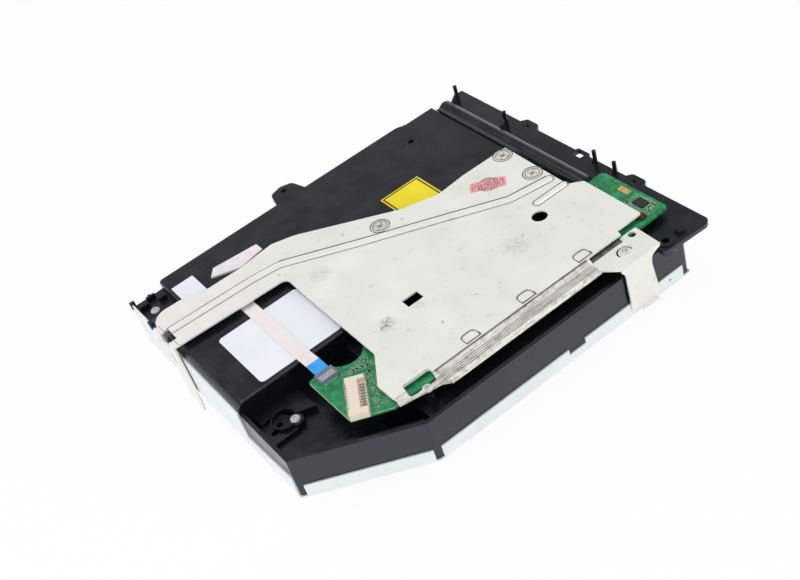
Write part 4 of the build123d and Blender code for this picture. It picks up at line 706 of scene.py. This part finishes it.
class ScrewGrowth(Growth):
    """Pan head screws with a cross recess, one at each point, with their shanks."""

    def __init__(self, finish: Finish, upside_down: bool) -> None:
        """Builds the tree.

        Args:
            finish: the plating.
            upside_down: True for heads that face down.
        """
        super().__init__("screws_down" if upside_down else "screws_up", finish)
        radius = self.ask("Head Radius", 2.2 * MM)
        height = self.ask("Head Height", 1.1 * MM)
        recess = self.ask("Recess", 2.2 * MM)
        shank = self.ask("Shank", 5.0 * MM)
        half = self.times(height, 0.5)
        rim = self.node("GeometryNodeMeshCylinder", {
            "Vertices": 40, "Radius": radius, "Depth": half})
        crown = self.node("GeometryNodeMeshCone", {
            "Vertices": 40, "Radius Top": self.times(radius, 0.72), "Radius Bottom": radius,
            "Depth": half})
        head = self.node("GeometryNodeMeshBoolean", {}, operation="UNION", solver="EXACT")
        for part in (self.raised(rim.outputs[0], self.times(height, 0.25)),
                     self.raised(crown.outputs[0], half)):
            self.tree.links.new(part, head.inputs[1])
        slim = self.times(recess, 0.26)
        crossed = self.node("GeometryNodeMeshBoolean", {0: head.outputs[0]},
                            operation="DIFFERENCE", solver="EXACT")
        for width, depth in ((recess, slim), (slim, recess)):
            bar = self.node("GeometryNodeMeshCube", {"Size": self.vector(width, depth, height)})
            self.tree.links.new(self.raised(bar.outputs[0], height), crossed.inputs[1])
        stem = self.node("GeometryNodeMeshCylinder", {
            "Vertices": 24, "Radius": 1.0 * MM, "Depth": shank})
        whole = self.node("GeometryNodeJoinGeometry")
        for part in (crossed.outputs[0], self.raised(stem.outputs[0], self.times(shank, -0.5))):
            self.tree.links.new(part, whole.inputs[0])
        turn = math.pi if upside_down else 0.0
        posed = self.node("GeometryNodeTransform", {
            "Geometry": whole.outputs[0], "Rotation": (turn, 0.0, 0.3)})
        put = self.node("GeometryNodeInstanceOnPoints", {
            "Points": self.given.outputs["Geometry"], "Instance": posed.outputs[0]})
        self.end(put.outputs[0])


class DotGrowth(Growth):
    """Small round pads scattered over a patch of the board."""

    def __init__(self, finish: Finish) -> None:
        """Builds the tree."""
        super().__init__("board_pads", finish)
        gap = self.ask("Gap", 0.7 * MM)
        radius = self.ask("Radius", 0.17 * MM)
        seed = self.ask("Seed", 3, whole=True)
        spread = self.node("GeometryNodeDistributePointsOnFaces", {
            "Mesh": self.given.outputs["Geometry"], "Distance Min": gap, "Density Max": 4.0e6,
            "Density Factor": 1.0, "Seed": seed}, distribute_method="POISSON")
        dot = self.node("GeometryNodeMeshCylinder", {
            "Vertices": 8, "Radius": radius, "Depth": 0.05 * MM})
        size = self.node("FunctionNodeRandomValue", {2: 0.6, 3: 1.35, "Seed": seed},
                         data_type="FLOAT")
        put = self.node("GeometryNodeInstanceOnPoints", {
            "Points": spread.outputs["Points"], "Instance": dot.outputs[0],
            "Scale": size.outputs[1]})
        self.end(put.outputs[0])


class RowGrowth(Growth):
    """Equal blocks along each edge of the host, such as contacts, pins and ribs."""

    def __init__(self, name: str, finish: Finish) -> None:
        """Builds the tree."""
        super().__init__(name, finish)
        count = self.ask("Count", 6, whole=True)
        long = self.ask("Long", 1.0 * MM)
        wide = self.ask("Wide", 0.3 * MM)
        tall = self.ask("Tall", 0.3 * MM)
        line = self.node("GeometryNodeMeshToCurve", {
            "Mesh": self.given.outputs["Geometry"]})
        spread = self.node("GeometryNodeResampleCurve", {
            "Curve": line.outputs[0], "Count": count}, mode="COUNT")
        points = self.node("GeometryNodeCurveToPoints", {
            "Curve": spread.outputs[0]}, mode="EVALUATED")
        block = self.node("GeometryNodeMeshCube", {"Size": self.vector(wide, long, tall)})
        tangent = self.node("GeometryNodeInputTangent")
        facing = self.node("FunctionNodeAlignRotationToVector", {
            "Vector": tangent.outputs[0]}, axis="X", pivot_axis="Z")
        kept = self.node("GeometryNodeCaptureAttribute", {"Geometry": spread.outputs[0]})
        kept.capture_items.new("ROTATION", "Facing")
        self.tree.links.new(facing.outputs[0], kept.inputs[1])
        self.tree.links.new(kept.outputs[0], points.inputs[0])
        put = self.node("GeometryNodeInstanceOnPoints", {
            "Points": points.outputs[0], "Instance": block.outputs[0],
            "Rotation": kept.outputs[1]})
        self.end(put.outputs[0])


class WireGrowth(Growth):
    """A fine round line laid along every edge of the host, for seams and drawn lines."""

    def __init__(self, name: str, finish: Finish) -> None:
        """Builds the tree."""
        super().__init__(name, finish)
        radius = self.ask("Radius", 0.12 * MM)
        line = self.node("GeometryNodeMeshToCurve", {"Mesh": self.given.outputs["Geometry"]})
        ring = self.node("GeometryNodeCurvePrimitiveCircle", {
            "Resolution": 6, "Radius": radius}, mode="RADIUS")
        tube = self.node("GeometryNodeCurveToMesh", {
            "Curve": line.outputs[0], "Profile Curve": ring.outputs[0], "Fill Caps": True})
        self.end(tube.outputs[0])


class ThreadGrowth(Growth):
    """A helical ridge round a shaft that runs along X."""

    def __init__(self, name: str, finish: Finish) -> None:
        """Builds the tree."""
        super().__init__(name, finish)
        turns = self.ask("Turns", 10.0)
        radius = self.ask("Radius", 1.5 * MM)
        pitch = self.ask("Pitch", 3.0 * MM)
        wire = self.ask("Wire", 0.25 * MM)
        helix = self.node("GeometryNodeCurveSpiral", {
            "Resolution": 20, "Rotations": turns, "Start Radius": radius,
            "End Radius": radius, "Height": self.times(turns, pitch)})
        ring = self.node("GeometryNodeCurvePrimitiveCircle", {
            "Resolution": 6, "Radius": wire}, mode="RADIUS")
        tube = self.node("GeometryNodeCurveToMesh", {
            "Curve": helix.outputs[0], "Profile Curve": ring.outputs[0], "Fill Caps": True})
        laid = self.node("GeometryNodeTransform", {
            "Geometry": tube.outputs[0], "Rotation": (0.0, math.pi / 2, 0.0)})
        put = self.node("GeometryNodeInstanceOnPoints", {
            "Points": self.given.outputs["Geometry"], "Instance": laid.outputs[0]})
        self.end(put.outputs[0])


def host_points(name: str, places: list[Place]) -> bpy.types.Object:
    """Makes loose points, in millimetres, for a tree to grow on."""
    return mesh_object(name, places, [])


def host_path(name: str, lines: list[list[Place]], closed: bool = False) -> bpy.types.Object:
    """Makes chains of edges, in millimetres, for a tree to grow on.

    Args:
        name: the host's name.
        lines: each chain's points in order.
        closed: True to join each chain's end to its start.

    Returns:
        The host.
    """
    points: list[Vector] = []
    edges: list[tuple[int, int]] = []
    for line in lines:
        start = len(points)
        points += [Vector(p) * MM for p in line]
        edges += [(start + i, start + i + 1) for i in range(len(line) - 1)]
        if closed:
            edges.append((len(points) - 1, start))
    mesh = bpy.data.meshes.new(name)
    mesh.from_pydata(points, edges, [])
    return link(name, mesh)


def host_patch(name: str, outline: list[Point], height: float) -> bpy.types.Object:
    """Makes one flat face, in millimetres, for a tree to grow on."""
    points = [(x, y, height) for x, y in outline]
    return mesh_object(name, points, [tuple(range(len(points)))])


@dataclass
class Fasteners:
    """The three sets of pan head screws."""

    record: dict
    head_radius: float = 2.2
    recess: float = 2.3

    def build(self) -> None:
        """Grows each set of screws at its seats and hides the plain ones."""
        up = ScrewGrowth(Palette.screw, upside_down=False)
        down = ScrewGrowth(Palette.screw, upside_down=True)
        sets = {
            "bracket_screws": (up, [(-39.8, -72.8, Layer.CLIP.value),
                                    (61.0, -76.4, Layer.CLIP.value)]),
            "case_screws": (up, [(-81.4, -32.2, Layer.CASE_SEAT.value),
                                 (-92.0, 71.4, Layer.HOOKS.value)]),
            "cover_screws": (down, [(x, y, Layer.COVER_FACE.value) for x, y in (
                (-90.0, 76.5), (81.5, -75.5), (-90.0, -49.0), (81.5, 76.5))]),
        }
        for node, (tree, places) in sets.items():
            host = host_points(f"{node}_plated", places)
            piece = tree.grow(host, "housing", slot_of(self.record, node),
                              head_radius=self.head_radius * MM, recess=self.recess * MM)
            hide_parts(node)


@dataclass
class BoardParts:
    """What stands on the circuit board: pads, chip parts, contacts, choke and printed lines."""

    record: dict
    pad_patches: dict[str, list[Point]] = field(default_factory=lambda: {
        "pads_beside_connector": [(-51.8, -46.4), (-46.0, -47.0), (-47.0, -56.0),
                                  (-53.4, -65.6), (-59.4, -64.2), (-55.0, -54.4)],
        "pads_by_scallop": [(-59.0, -37.6), (-52.0, -38.2), (-45.4, -36.0), (-45.0, -43.5),
                            (-50.5, -42.8), (-58.0, -39.8)],
        "pads_by_sensor": [(80.4, -53.0), (91.0, -51.6), (91.6, -66.0), (84.0, -67.2),
                           (82.0, -62.0)],
    })
    chip_parts: list[tuple[float, float, float]] = field(default_factory=lambda: [
        (-52.4, -40.7, 20.0), (-50.2, -41.2, 20.0), (-48.0, -41.7, 15.0), (-56.7, -39.4, 80.0),
        (-53.7, -40.2, 10.0), (-47.2, -38.6, 60.0), (-46.6, -45.6, 75.0), (-49.6, -45.4, 10.0),
        (-53.2, -56.2, 70.0), (-55.4, -59.6, 65.0), (-57.6, -63.6, 60.0), (90.0, -39.4, 10.0),
        (84.0, -33.5, 90.0), (89.6, -62.6, 0.0), (89.6, -64.2, 0.0), (87.4, -63.4, 90.0),
        (85.6, -65.0, 0.0), (84.2, -52.8, 0.0),
    ])

    rim_line: tuple[Point, ...] = ((-69.95, -32.0), (-69.95, -61.3), (-54.2, -69.55),
                                   (-50.0, -69.65))

    def pads(self) -> None:
        """Scatters tinned pads over the busy patches."""
        tree = DotGrowth(Palette.pads)
        for seed, (name, outline) in enumerate(self.pad_patches.items()):
            host = host_patch(name, outline, Layer.BOARD.value + 0.01)
            tree.grow(host, "housing", "contact_metal", gap=0.58 * MM, radius=0.18 * MM,
                      seed=seed + 5)

    def capacitors(self) -> None:
        """Builds the chip parts: ceramic bodies with tinned ends."""
        bodies = RowGrowth("chip_bodies", Palette.ceramic)
        ends = RowGrowth("chip_ends", Palette.screw)
        edges: list[tuple[Vector, Vector]] = []
        for x, y, degrees in self.chip_parts:
            angle = math.radians(degrees)
            edges.append((Vector((x, y, Layer.BOARD.value + 0.28)),
                          Vector((math.cos(angle), math.sin(angle), 0))))
        for name, tree, reach, long, wide in (
                ("chip_part_bodies", bodies, 0.01, 0.7, 0.9),
                ("chip_part_ends", ends, 0.55, 0.74, 0.3)):
            host = host_path(name, [[middle - step * reach, middle + step * reach]
                                    for middle, step in edges])
            piece = tree.grow(host, "housing", "component_ceramic", count=2, long=long * MM,
                              wide=wide * MM, tall=0.56 * MM)
            if name == "chip_part_bodies":
                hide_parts("small_components")

    def contacts(self) -> None:
        """Adds the rows of contacts at the cable socket, the sensor chip and the header."""
        tree = RowGrowth("contact_rows", Palette.screw)
        rows = {
            "socket_contacts": ((-65.9, -37.3, 26.28), (-59.7, -37.3, 26.28), 12, 0.9, 0.25),
            "sensor_pins_left": ((84.5, -61.0, 26.28), (84.5, -56.0, 26.28), 6, 0.7, 0.3),
            "sensor_pins_right": ((89.7, -61.0, 26.28), (89.7, -56.0, 26.28), 6, 0.7, 0.3),
            "socket_ribs": ((-66.2, -35.2, 28.0), (-59.8, -35.2, 28.0), 14, 3.0, 0.2),
            "header_pads": ((-67.0, -62.3, 26.26), (-66.2, -60.8, 26.26), 2, 1.4, 0.6),
        }
        for name, (start, end, count, long, wide) in rows.items():
            tree.grow(host_path(name, [[start, end]]), "housing", "contact_metal", count=count,
                      long=long * MM, wide=wide * MM, tall=0.16 * MM)

    def printed_lines(self) -> None:
        """Prints the white outlines round the header and the sensor chip."""
        frames = {
            "print_round_header": ((-60.6, -52.6), (23.0, 9.4), 61.0),
            "print_round_sensor": ((87.1, -58.5), (7.4, 7.4), 0.0),
        }
        for name, (centre, size, degrees) in frames.items():
            outer = turned_box(centre, size, degrees)
            inner = turned_box(centre, (size[0] - 0.3, size[1] - 0.3), degrees)
            z = Layer.BOARD.value + 0.02
            points = [(x, y, z) for x, y in outer + inner]
            faces = [(i, (i + 1) % 4, 4 + (i + 1) % 4, 4 + i) for i in range(4)]
            piece = mesh_object(name, points, faces)
            wear(piece, Palette.pads)
            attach(piece, "housing")

    def choke(self) -> None:
        """Builds the copper-coloured choke at the board's edge, beside the bracket."""
        outline = turned_box((80.6, -65.0), (3.2, 4.6), 12.0)
        piece = prism("copper_choke", outline, Layer.BOARD.value, Layer.BOARD.value + 1.6, 0.35)
        wear(piece, Palette.choke)
        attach(piece, "housing")

    def shield_strip(self) -> None:
        """Lays a thin grey-tan sheet over the board's front edge in the gap by the clip: painted
        shade for the board in shadow there.
        """
        outline = turned_box((55.4, -69.7), (17.6, 2.6), 0.0)
        piece = prism("shielding_strip", outline, Layer.BOARD.value, Layer.BOARD.value + 0.7, 0.1)
        wear(piece, Palette.groove_shade)
        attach(piece, "housing")

    def rim(self) -> None:
        """Lays the pale cut edge of the bare board along its front left side."""
        edge = WireGrowth("board_rim", Palette.rim)
        line = [[(x, y, Layer.BOARD.value - 0.12) for x, y in self.rim_line]]
        edge.grow(host_path("board_rim", line), "housing",
                  slot_of(self.record, "main_circuit_board"), radius=0.16 * MM)

    def build(self) -> None:
        """Builds everything on the board."""
        self.shield_strip()
        self.rim()
        self.pads()
        self.capacitors()
        self.contacts()
        self.printed_lines()
        self.choke()


@dataclass
class SteelMarks:
    """Marks on the steel: painted shade in the bead lines, seat rings, tab cuts and strip lines,
    and a stamp.
    """

    upper_bead: list[Point] = field(default_factory=lambda: [
        (-95.1, 42.75), (-53.2, 40.85), (-39.2, 38.75), (-7.0, 20.15), (20.2, 5.45),
        (52.6, -12.55), (72.7, -16.15)])
    short_bead: list[Point] = field(default_factory=lambda: [(58.8, -24.6), (74.2, -24.6)])
    studs: list[Point] = field(default_factory=lambda: [
        (5.3, 22.2), (71.7, 15.0), (71.3, -6.7), (54.0, 4.0)])
    tabs_x: tuple[float, ...] = (47.2, 16.8, -12.2)
    tab_root: float = -68.0
    tab_half: float = 3.7
    stamp_centre: Point = (53.9, 4.0)
    stamp_turn: float = -34.0

    def around(self, line: list[Point], reach: float, height: float) -> list[Place]:
        """Returns a loop at a set distance from a line, with round ends."""
        sides: list[list[Place]] = [[], []]
        count = len(line)
        for i, point in enumerate(line):
            before = Vector(line[max(i - 1, 0)])
            after = Vector(line[min(i + 1, count - 1)])
            along = (after - before).normalized()
            across = Vector((-along.y, along.x)) * reach
            sides[0].append((point[0] + across.x, point[1] + across.y, height))
            sides[1].append((point[0] - across.x, point[1] - across.y, height))
        caps = []
        for end, other in ((line[-1], line[-2]), (line[0], line[1])):
            start = math.atan2(end[1] - other[1], end[0] - other[0])
            caps.append([(end[0] + reach * math.cos(start + math.radians(a)),
                          end[1] + reach * math.sin(start + math.radians(a)), height)
                         for a in (60, 30, 0, -30, -60)])
        return sides[0] + caps[0] + sides[1][::-1] + caps[1]

    def bead_lines(self, record: dict) -> None:
        """Lays dark lines of painted shade round each bead, the seat rings and crosses and the tab
        cuts, and darker painted shade at the tab fronts, the bead's rear side and the seam.
        """
        height = Layer.BRACKET.value - 0.02
        loops = [self.around(self.upper_bead, 2.5, height),
                 self.around(self.short_bead, 2.1, height)]
        # Painted shade: dark lines stand in for the shade in the pressed grooves round the beads,
        # the seat rings and crosses, and the tab cuts
        tree = WireGrowth("bead_lines", Palette.groove_shade)
        slot = slot_of(record, "shield_bracket")
        tree.grow(host_path("bead_lines", loops, closed=True), "housing", slot, radius=0.2 * MM)
        rings = [self.circle(place, reach, height) for place in self.studs for reach in (4.6, 3.4)]
        tree.grow(host_path("stud_rings", rings, closed=True), "housing", slot,
                  radius=0.2 * MM)
        strokes = [[(x - 2.4 * a, y - 2.4 * b, height), (x + 2.4 * a, y + 2.4 * b, height)]
                   for x, y in self.studs for a, b in ((0.8, 0.6), (-0.6, 0.8))]
        tree.grow(host_path("stud_strokes", strokes), "housing", slot, radius=0.16 * MM)
        backs = [self.tab_back(x, height) for x in self.tabs_x]
        tree.grow(host_path("tab_cuts", backs), "housing", slot, radius=0.2 * MM)
        # Darker painted shade: thick dark lines at the open fronts of the lanced tabs, along the
        # bead's rear side and in the seam at the plate's front edge
        dark = WireGrowth("dark_cuts", Palette.deep_shade)
        ridge = self.ridge_line(height)
        low = height - 0.35
        fronts = [[(x - self.tab_half, self.tab_root, low), (x + self.tab_half, self.tab_root, low),
                   (x + self.tab_half, self.tab_root + self.tab_half * 0.5, low)]
                  for x in self.tabs_x]
        dark.grow(host_path("tab_fronts", fronts), "housing", slot, radius=0.55 * MM)
        dark.grow(host_path("bead_shadow", [ridge]), "housing", slot, radius=0.3 * MM)
        dark.grow(host_path("seam_line", [[(-33.0, -69.0, 28.9), (46.5, -69.0, 28.9)]]), "housing",
                  slot, radius=0.22 * MM)

    def ridge_line(self, height: float) -> list[Place]:
        """Returns the stretch of the long bead's rear side that takes a line of painted shade."""
        loop = self.around(self.upper_bead, 2.5, height)
        return loop[2:7]

    def circle(self, centre: Point, radius: float, height: float, count: int = 32) -> list[Place]:
        """Returns the points of a flat ring."""
        turns = [2 * math.pi * i / count for i in range(count)]
        return [(centre[0] + radius * math.cos(a), centre[1] + radius * math.sin(a), height)
                for a in turns]

    def tab_back(self, x: float, height: float) -> list[Place]:
        """Returns the cut round a lanced tab, from one root to the other."""
        half, root = self.tab_half - 0.2, self.tab_root
        back = root + self.tab_half * 1.42 - 0.2
        bend = half * 0.5
        return [(x - half, root, height), (x - half, back - bend, height),
                (x - half + bend * 0.3, back - bend * 0.3, height), (x - half + bend, back, height),
                (x + half - bend, back, height), (x + half - bend * 0.3, back - bend * 0.3, height),
                (x + half, back - bend, height), (x + half, root, height)]

    def strip_lines(self, record: dict) -> None:
        """Lays fine dark lines of painted shade along the front strip's pressed steps and at the
        fold by the leg.
        """
        height = Layer.CLIP.value + 0.02
        lines = [[(-35.0, y, height), (47.5, y, height)]
                 for y in (-70.2, -71.3, -72.4, -73.6, -74.7)]
        lines.append([(-98.0, 49.6, 29.31), (-97.4, 31.4, 29.31)])
        # Painted shade: dark lines at the strip's pressed steps and at the fold
        tree = WireGrowth("strip_lines", Palette.groove_shade)
        tree.grow(host_path("strip_lines", lines), "housing",
                  slot_of(record, "shield_bracket"), radius=0.12 * MM)

    def stamp(self, record: dict) -> None:
        """Prints the inspection mark: a ring over rows of short dashes, with no lettering."""
        cos, sin = (f(math.radians(self.stamp_turn)) for f in (math.cos, math.sin))

        def put(u: float, v: float) -> Place:
            return (self.stamp_centre[0] + u * cos - v * sin,
                    self.stamp_centre[1] + u * sin + v * cos, Layer.BRACKET.value + 0.01)

        ring = [put(2.6 + 4.4 * math.cos(a * math.pi / 12), 4.0 * math.sin(a * math.pi / 12))
                for a in range(24)]
        frame = [put(-8.0, -3.4), put(8.0, -3.4), put(8.0, 3.0), put(-8.0, 3.0)]
        film = mesh_object("stamp_film", [(x, y, z + 0.01) for x, y, z in frame], [(0, 1, 2, 3)])
        wear(film, Palette.stamp_film)
        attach(film, "housing")
        tree = WireGrowth("stamp_lines", Palette.stamp_ink)
        tree.grow(host_path("stamp_ring_and_frame", [ring, frame], closed=True), "housing",
                  slot_of(record, "shield_bracket"), radius=0.14 * MM)
        rows = RowGrowth("stamp_dashes", Palette.stamp_ink)
        lines = [[put(-7.0, v), put(7.0, v)] for v in (-2.4, -1.3, -0.2, 0.9, 2.0)]
        rows.grow(host_path("stamp_dashes", lines), "housing",
                  slot_of(record, "shield_bracket"), count=11, long=0.85 * MM, wide=1.05 * MM,
                  tall=0.04 * MM)

    def build(self, record: dict) -> None:
        """Builds all the marks."""
        self.bead_lines(record)
        self.strip_lines(record)
        self.stamp(record)


@dataclass
class Threads:
    """The cut thread of the lead screw."""

    def build(self) -> None:
        """Winds the thread round the lead screw's shaft."""
        lead = ThreadGrowth("lead_thread", Palette.ground)
        lead.grow(host_points("lead_screw_thread", [(-58.0, 32.5, 13.0)]), "lead_screw",
                  "ground_steel", turns=19.0, radius=1.42 * MM, pitch=3.0 * MM, wire=0.16 * MM)


@dataclass
class Studio:
    """The pale floor, the soft lights and the camera."""

    camera_place: Place = (-0.177, -0.393, 0.370)
    right: Place = (0.7809, -0.5714, -0.2522)
    up: Place = (0.5441, 0.4240, 0.7240)
    forward: Place = (0.3068, 0.7026, -0.6420)
    lens_mm: float = 57.12
    floor_size: float = 6.0
    floor_white: float = 0.93
    fill: float = 0.5
    ceiling: float = 0.24
    wall_top: float = 0.3
    ceiling_start: float = 0.58

    def camera(self) -> None:
        """Puts the camera where the photograph was taken from."""
        data = bpy.data.cameras.new("camera")
        data.lens = self.lens_mm
        data.sensor_width = 36.0
        data.clip_start = 0.01
        data.clip_end = 20.0
        camera = bpy.data.objects.new("camera", data)
        axes = Matrix((self.right, self.up, -Vector(self.forward))).transposed().to_4x4()
        camera.matrix_world = Matrix.Translation(self.camera_place) @ axes
        bpy.context.scene.collection.objects.link(camera)
        bpy.context.scene.camera = camera

    def lamp(self, name: str, place: Place, target: Place, size: float, watts: float) -> None:
        """Adds one soft light that points at target."""
        data = bpy.data.lights.new(name, "AREA")
        data.shape = "SQUARE"
        data.size = size
        data.energy = watts
        lamp = bpy.data.objects.new(name, data)
        aim = (Vector(target) - Vector(place)).to_track_quat("-Z", "Y")
        lamp.matrix_world = Matrix.Translation(place) @ aim.to_matrix().to_4x4()
        bpy.context.scene.collection.objects.link(lamp)

    def lights(self) -> None:
        """Hangs a broad light overhead, one at the front right and one at the left."""
        self.lamp("overhead", (-0.2, 0.25, 1.3), (0.0, 0.0, 0.0), 1.1, 8.0)
        self.lamp("front_right", (0.7, -1.0, 0.45), (0.0, -0.05, 0.01), 0.6, 4.0)
        self.lamp("left", (-1.2, -0.5, 0.3), (-0.05, 0.0, 0.01), 0.9, 6.0)

    def surroundings(self) -> None:
        """Makes a white room with a dimmer ceiling for what shows it, and an even fill light."""
        world = bpy.data.worlds.new("studio")
        bpy.context.scene.world = world
        world.use_nodes = True
        tree = world.node_tree
        tree.nodes.clear()
        path = add_node(tree, "ShaderNodeLightPath")
        seen = add_node(tree, "ShaderNodeMath", {
            0: path.outputs["Is Camera Ray"], 1: path.outputs["Is Transmission Ray"]},
            operation="MAXIMUM")
        shown = add_node(tree, "ShaderNodeMath", {
            0: seen.outputs[0], 1: path.outputs["Is Glossy Ray"]}, operation="MAXIMUM")
        way = add_node(tree, "ShaderNodeTexCoord").outputs["Generated"]
        rise = add_node(tree, "ShaderNodeSeparateXYZ", {0: way}).outputs[2]
        room = add_node(tree, "ShaderNodeMapRange", {
            "Value": rise, "From Min": self.wall_top, "From Max": self.ceiling_start,
            "To Min": 1.0, "To Max": self.ceiling})
        strength = add_node(tree, "ShaderNodeMix", {
            0: shown.outputs[0], 2: self.fill, 3: room.outputs["Result"]}, data_type="FLOAT")
        back = add_node(tree, "ShaderNodeBackground", {
            "Color": (1.0, 1.0, 1.0, 1.0), "Strength": strength.outputs[0]})
        add_node(tree, "ShaderNodeOutputWorld", {"Surface": back.outputs[0]})

    def floor(self, height: float) -> None:
        """Lays the pale floor under the drive's lowest point."""
        half = self.floor_size / 2 / MM
        piece = mesh_object("studio_floor", [(-half, -half, height), (half, -half, height),
                                             (half, half, height), (-half, half, height)],
                            [(0, 1, 2, 3)])
        material = bpy.data.materials.new("studio_floor")
        material.use_nodes = True
        tree = material.node_tree
        tree.nodes.clear()
        path = add_node(tree, "ShaderNodeLightPath")
        seen = add_node(tree, "ShaderNodeMath", {
            0: path.outputs["Is Camera Ray"], 1: path.outputs["Is Glossy Ray"]},
            operation="MAXIMUM")
        share = add_node(tree, "ShaderNodeMath", {0: seen.outputs[0], 1: self.floor_white},
                         operation="MULTIPLY")
        paint = add_node(tree, "ShaderNodeBsdfDiffuse", {"Color": linear("#f4f4f3")})
        glow = add_node(tree, "ShaderNodeEmission", {
            "Color": (1.0, 1.0, 1.0, 1.0), "Strength": 1.0})
        mixed = add_node(tree, "ShaderNodeMixShader", {
            0: share.outputs[0], 1: paint.outputs[0], 2: glow.outputs[0]})
        add_node(tree, "ShaderNodeOutputMaterial", {"Surface": mixed.outputs[0]})
        piece.data.materials.append(material)
        piece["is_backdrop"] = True

    def build(self, floor_height: float) -> None:
        """Builds the whole studio."""
        self.camera()
        self.lights()
        self.surroundings()
        self.floor(floor_height)
        scene = bpy.context.scene
        scene.view_settings.view_transform = "Standard"


def corners(bounds: tuple) -> list[list[float]]:
    """Returns a box's two corners as plain lists."""
    return [list(corner) for corner in bounds]


def main() -> None:
    """Builds the sub-assemblies in order."""
    logging.basicConfig(level=logging.INFO, format="%(message)s")
    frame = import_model()
    record = frame["record"]
    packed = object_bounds()
    Studio().build(packed[0].z / MM)
    for node, finish in NODE_FINISHES.items():
        wear(frame["nodes"][node], finish)
        log.info("%s: %s", node, finish.name)
    Fasteners(record).build()
    BoardParts(record).build()
    SteelMarks().build(record)
    Threads().build()


if __name__ == "__main__":
    main()
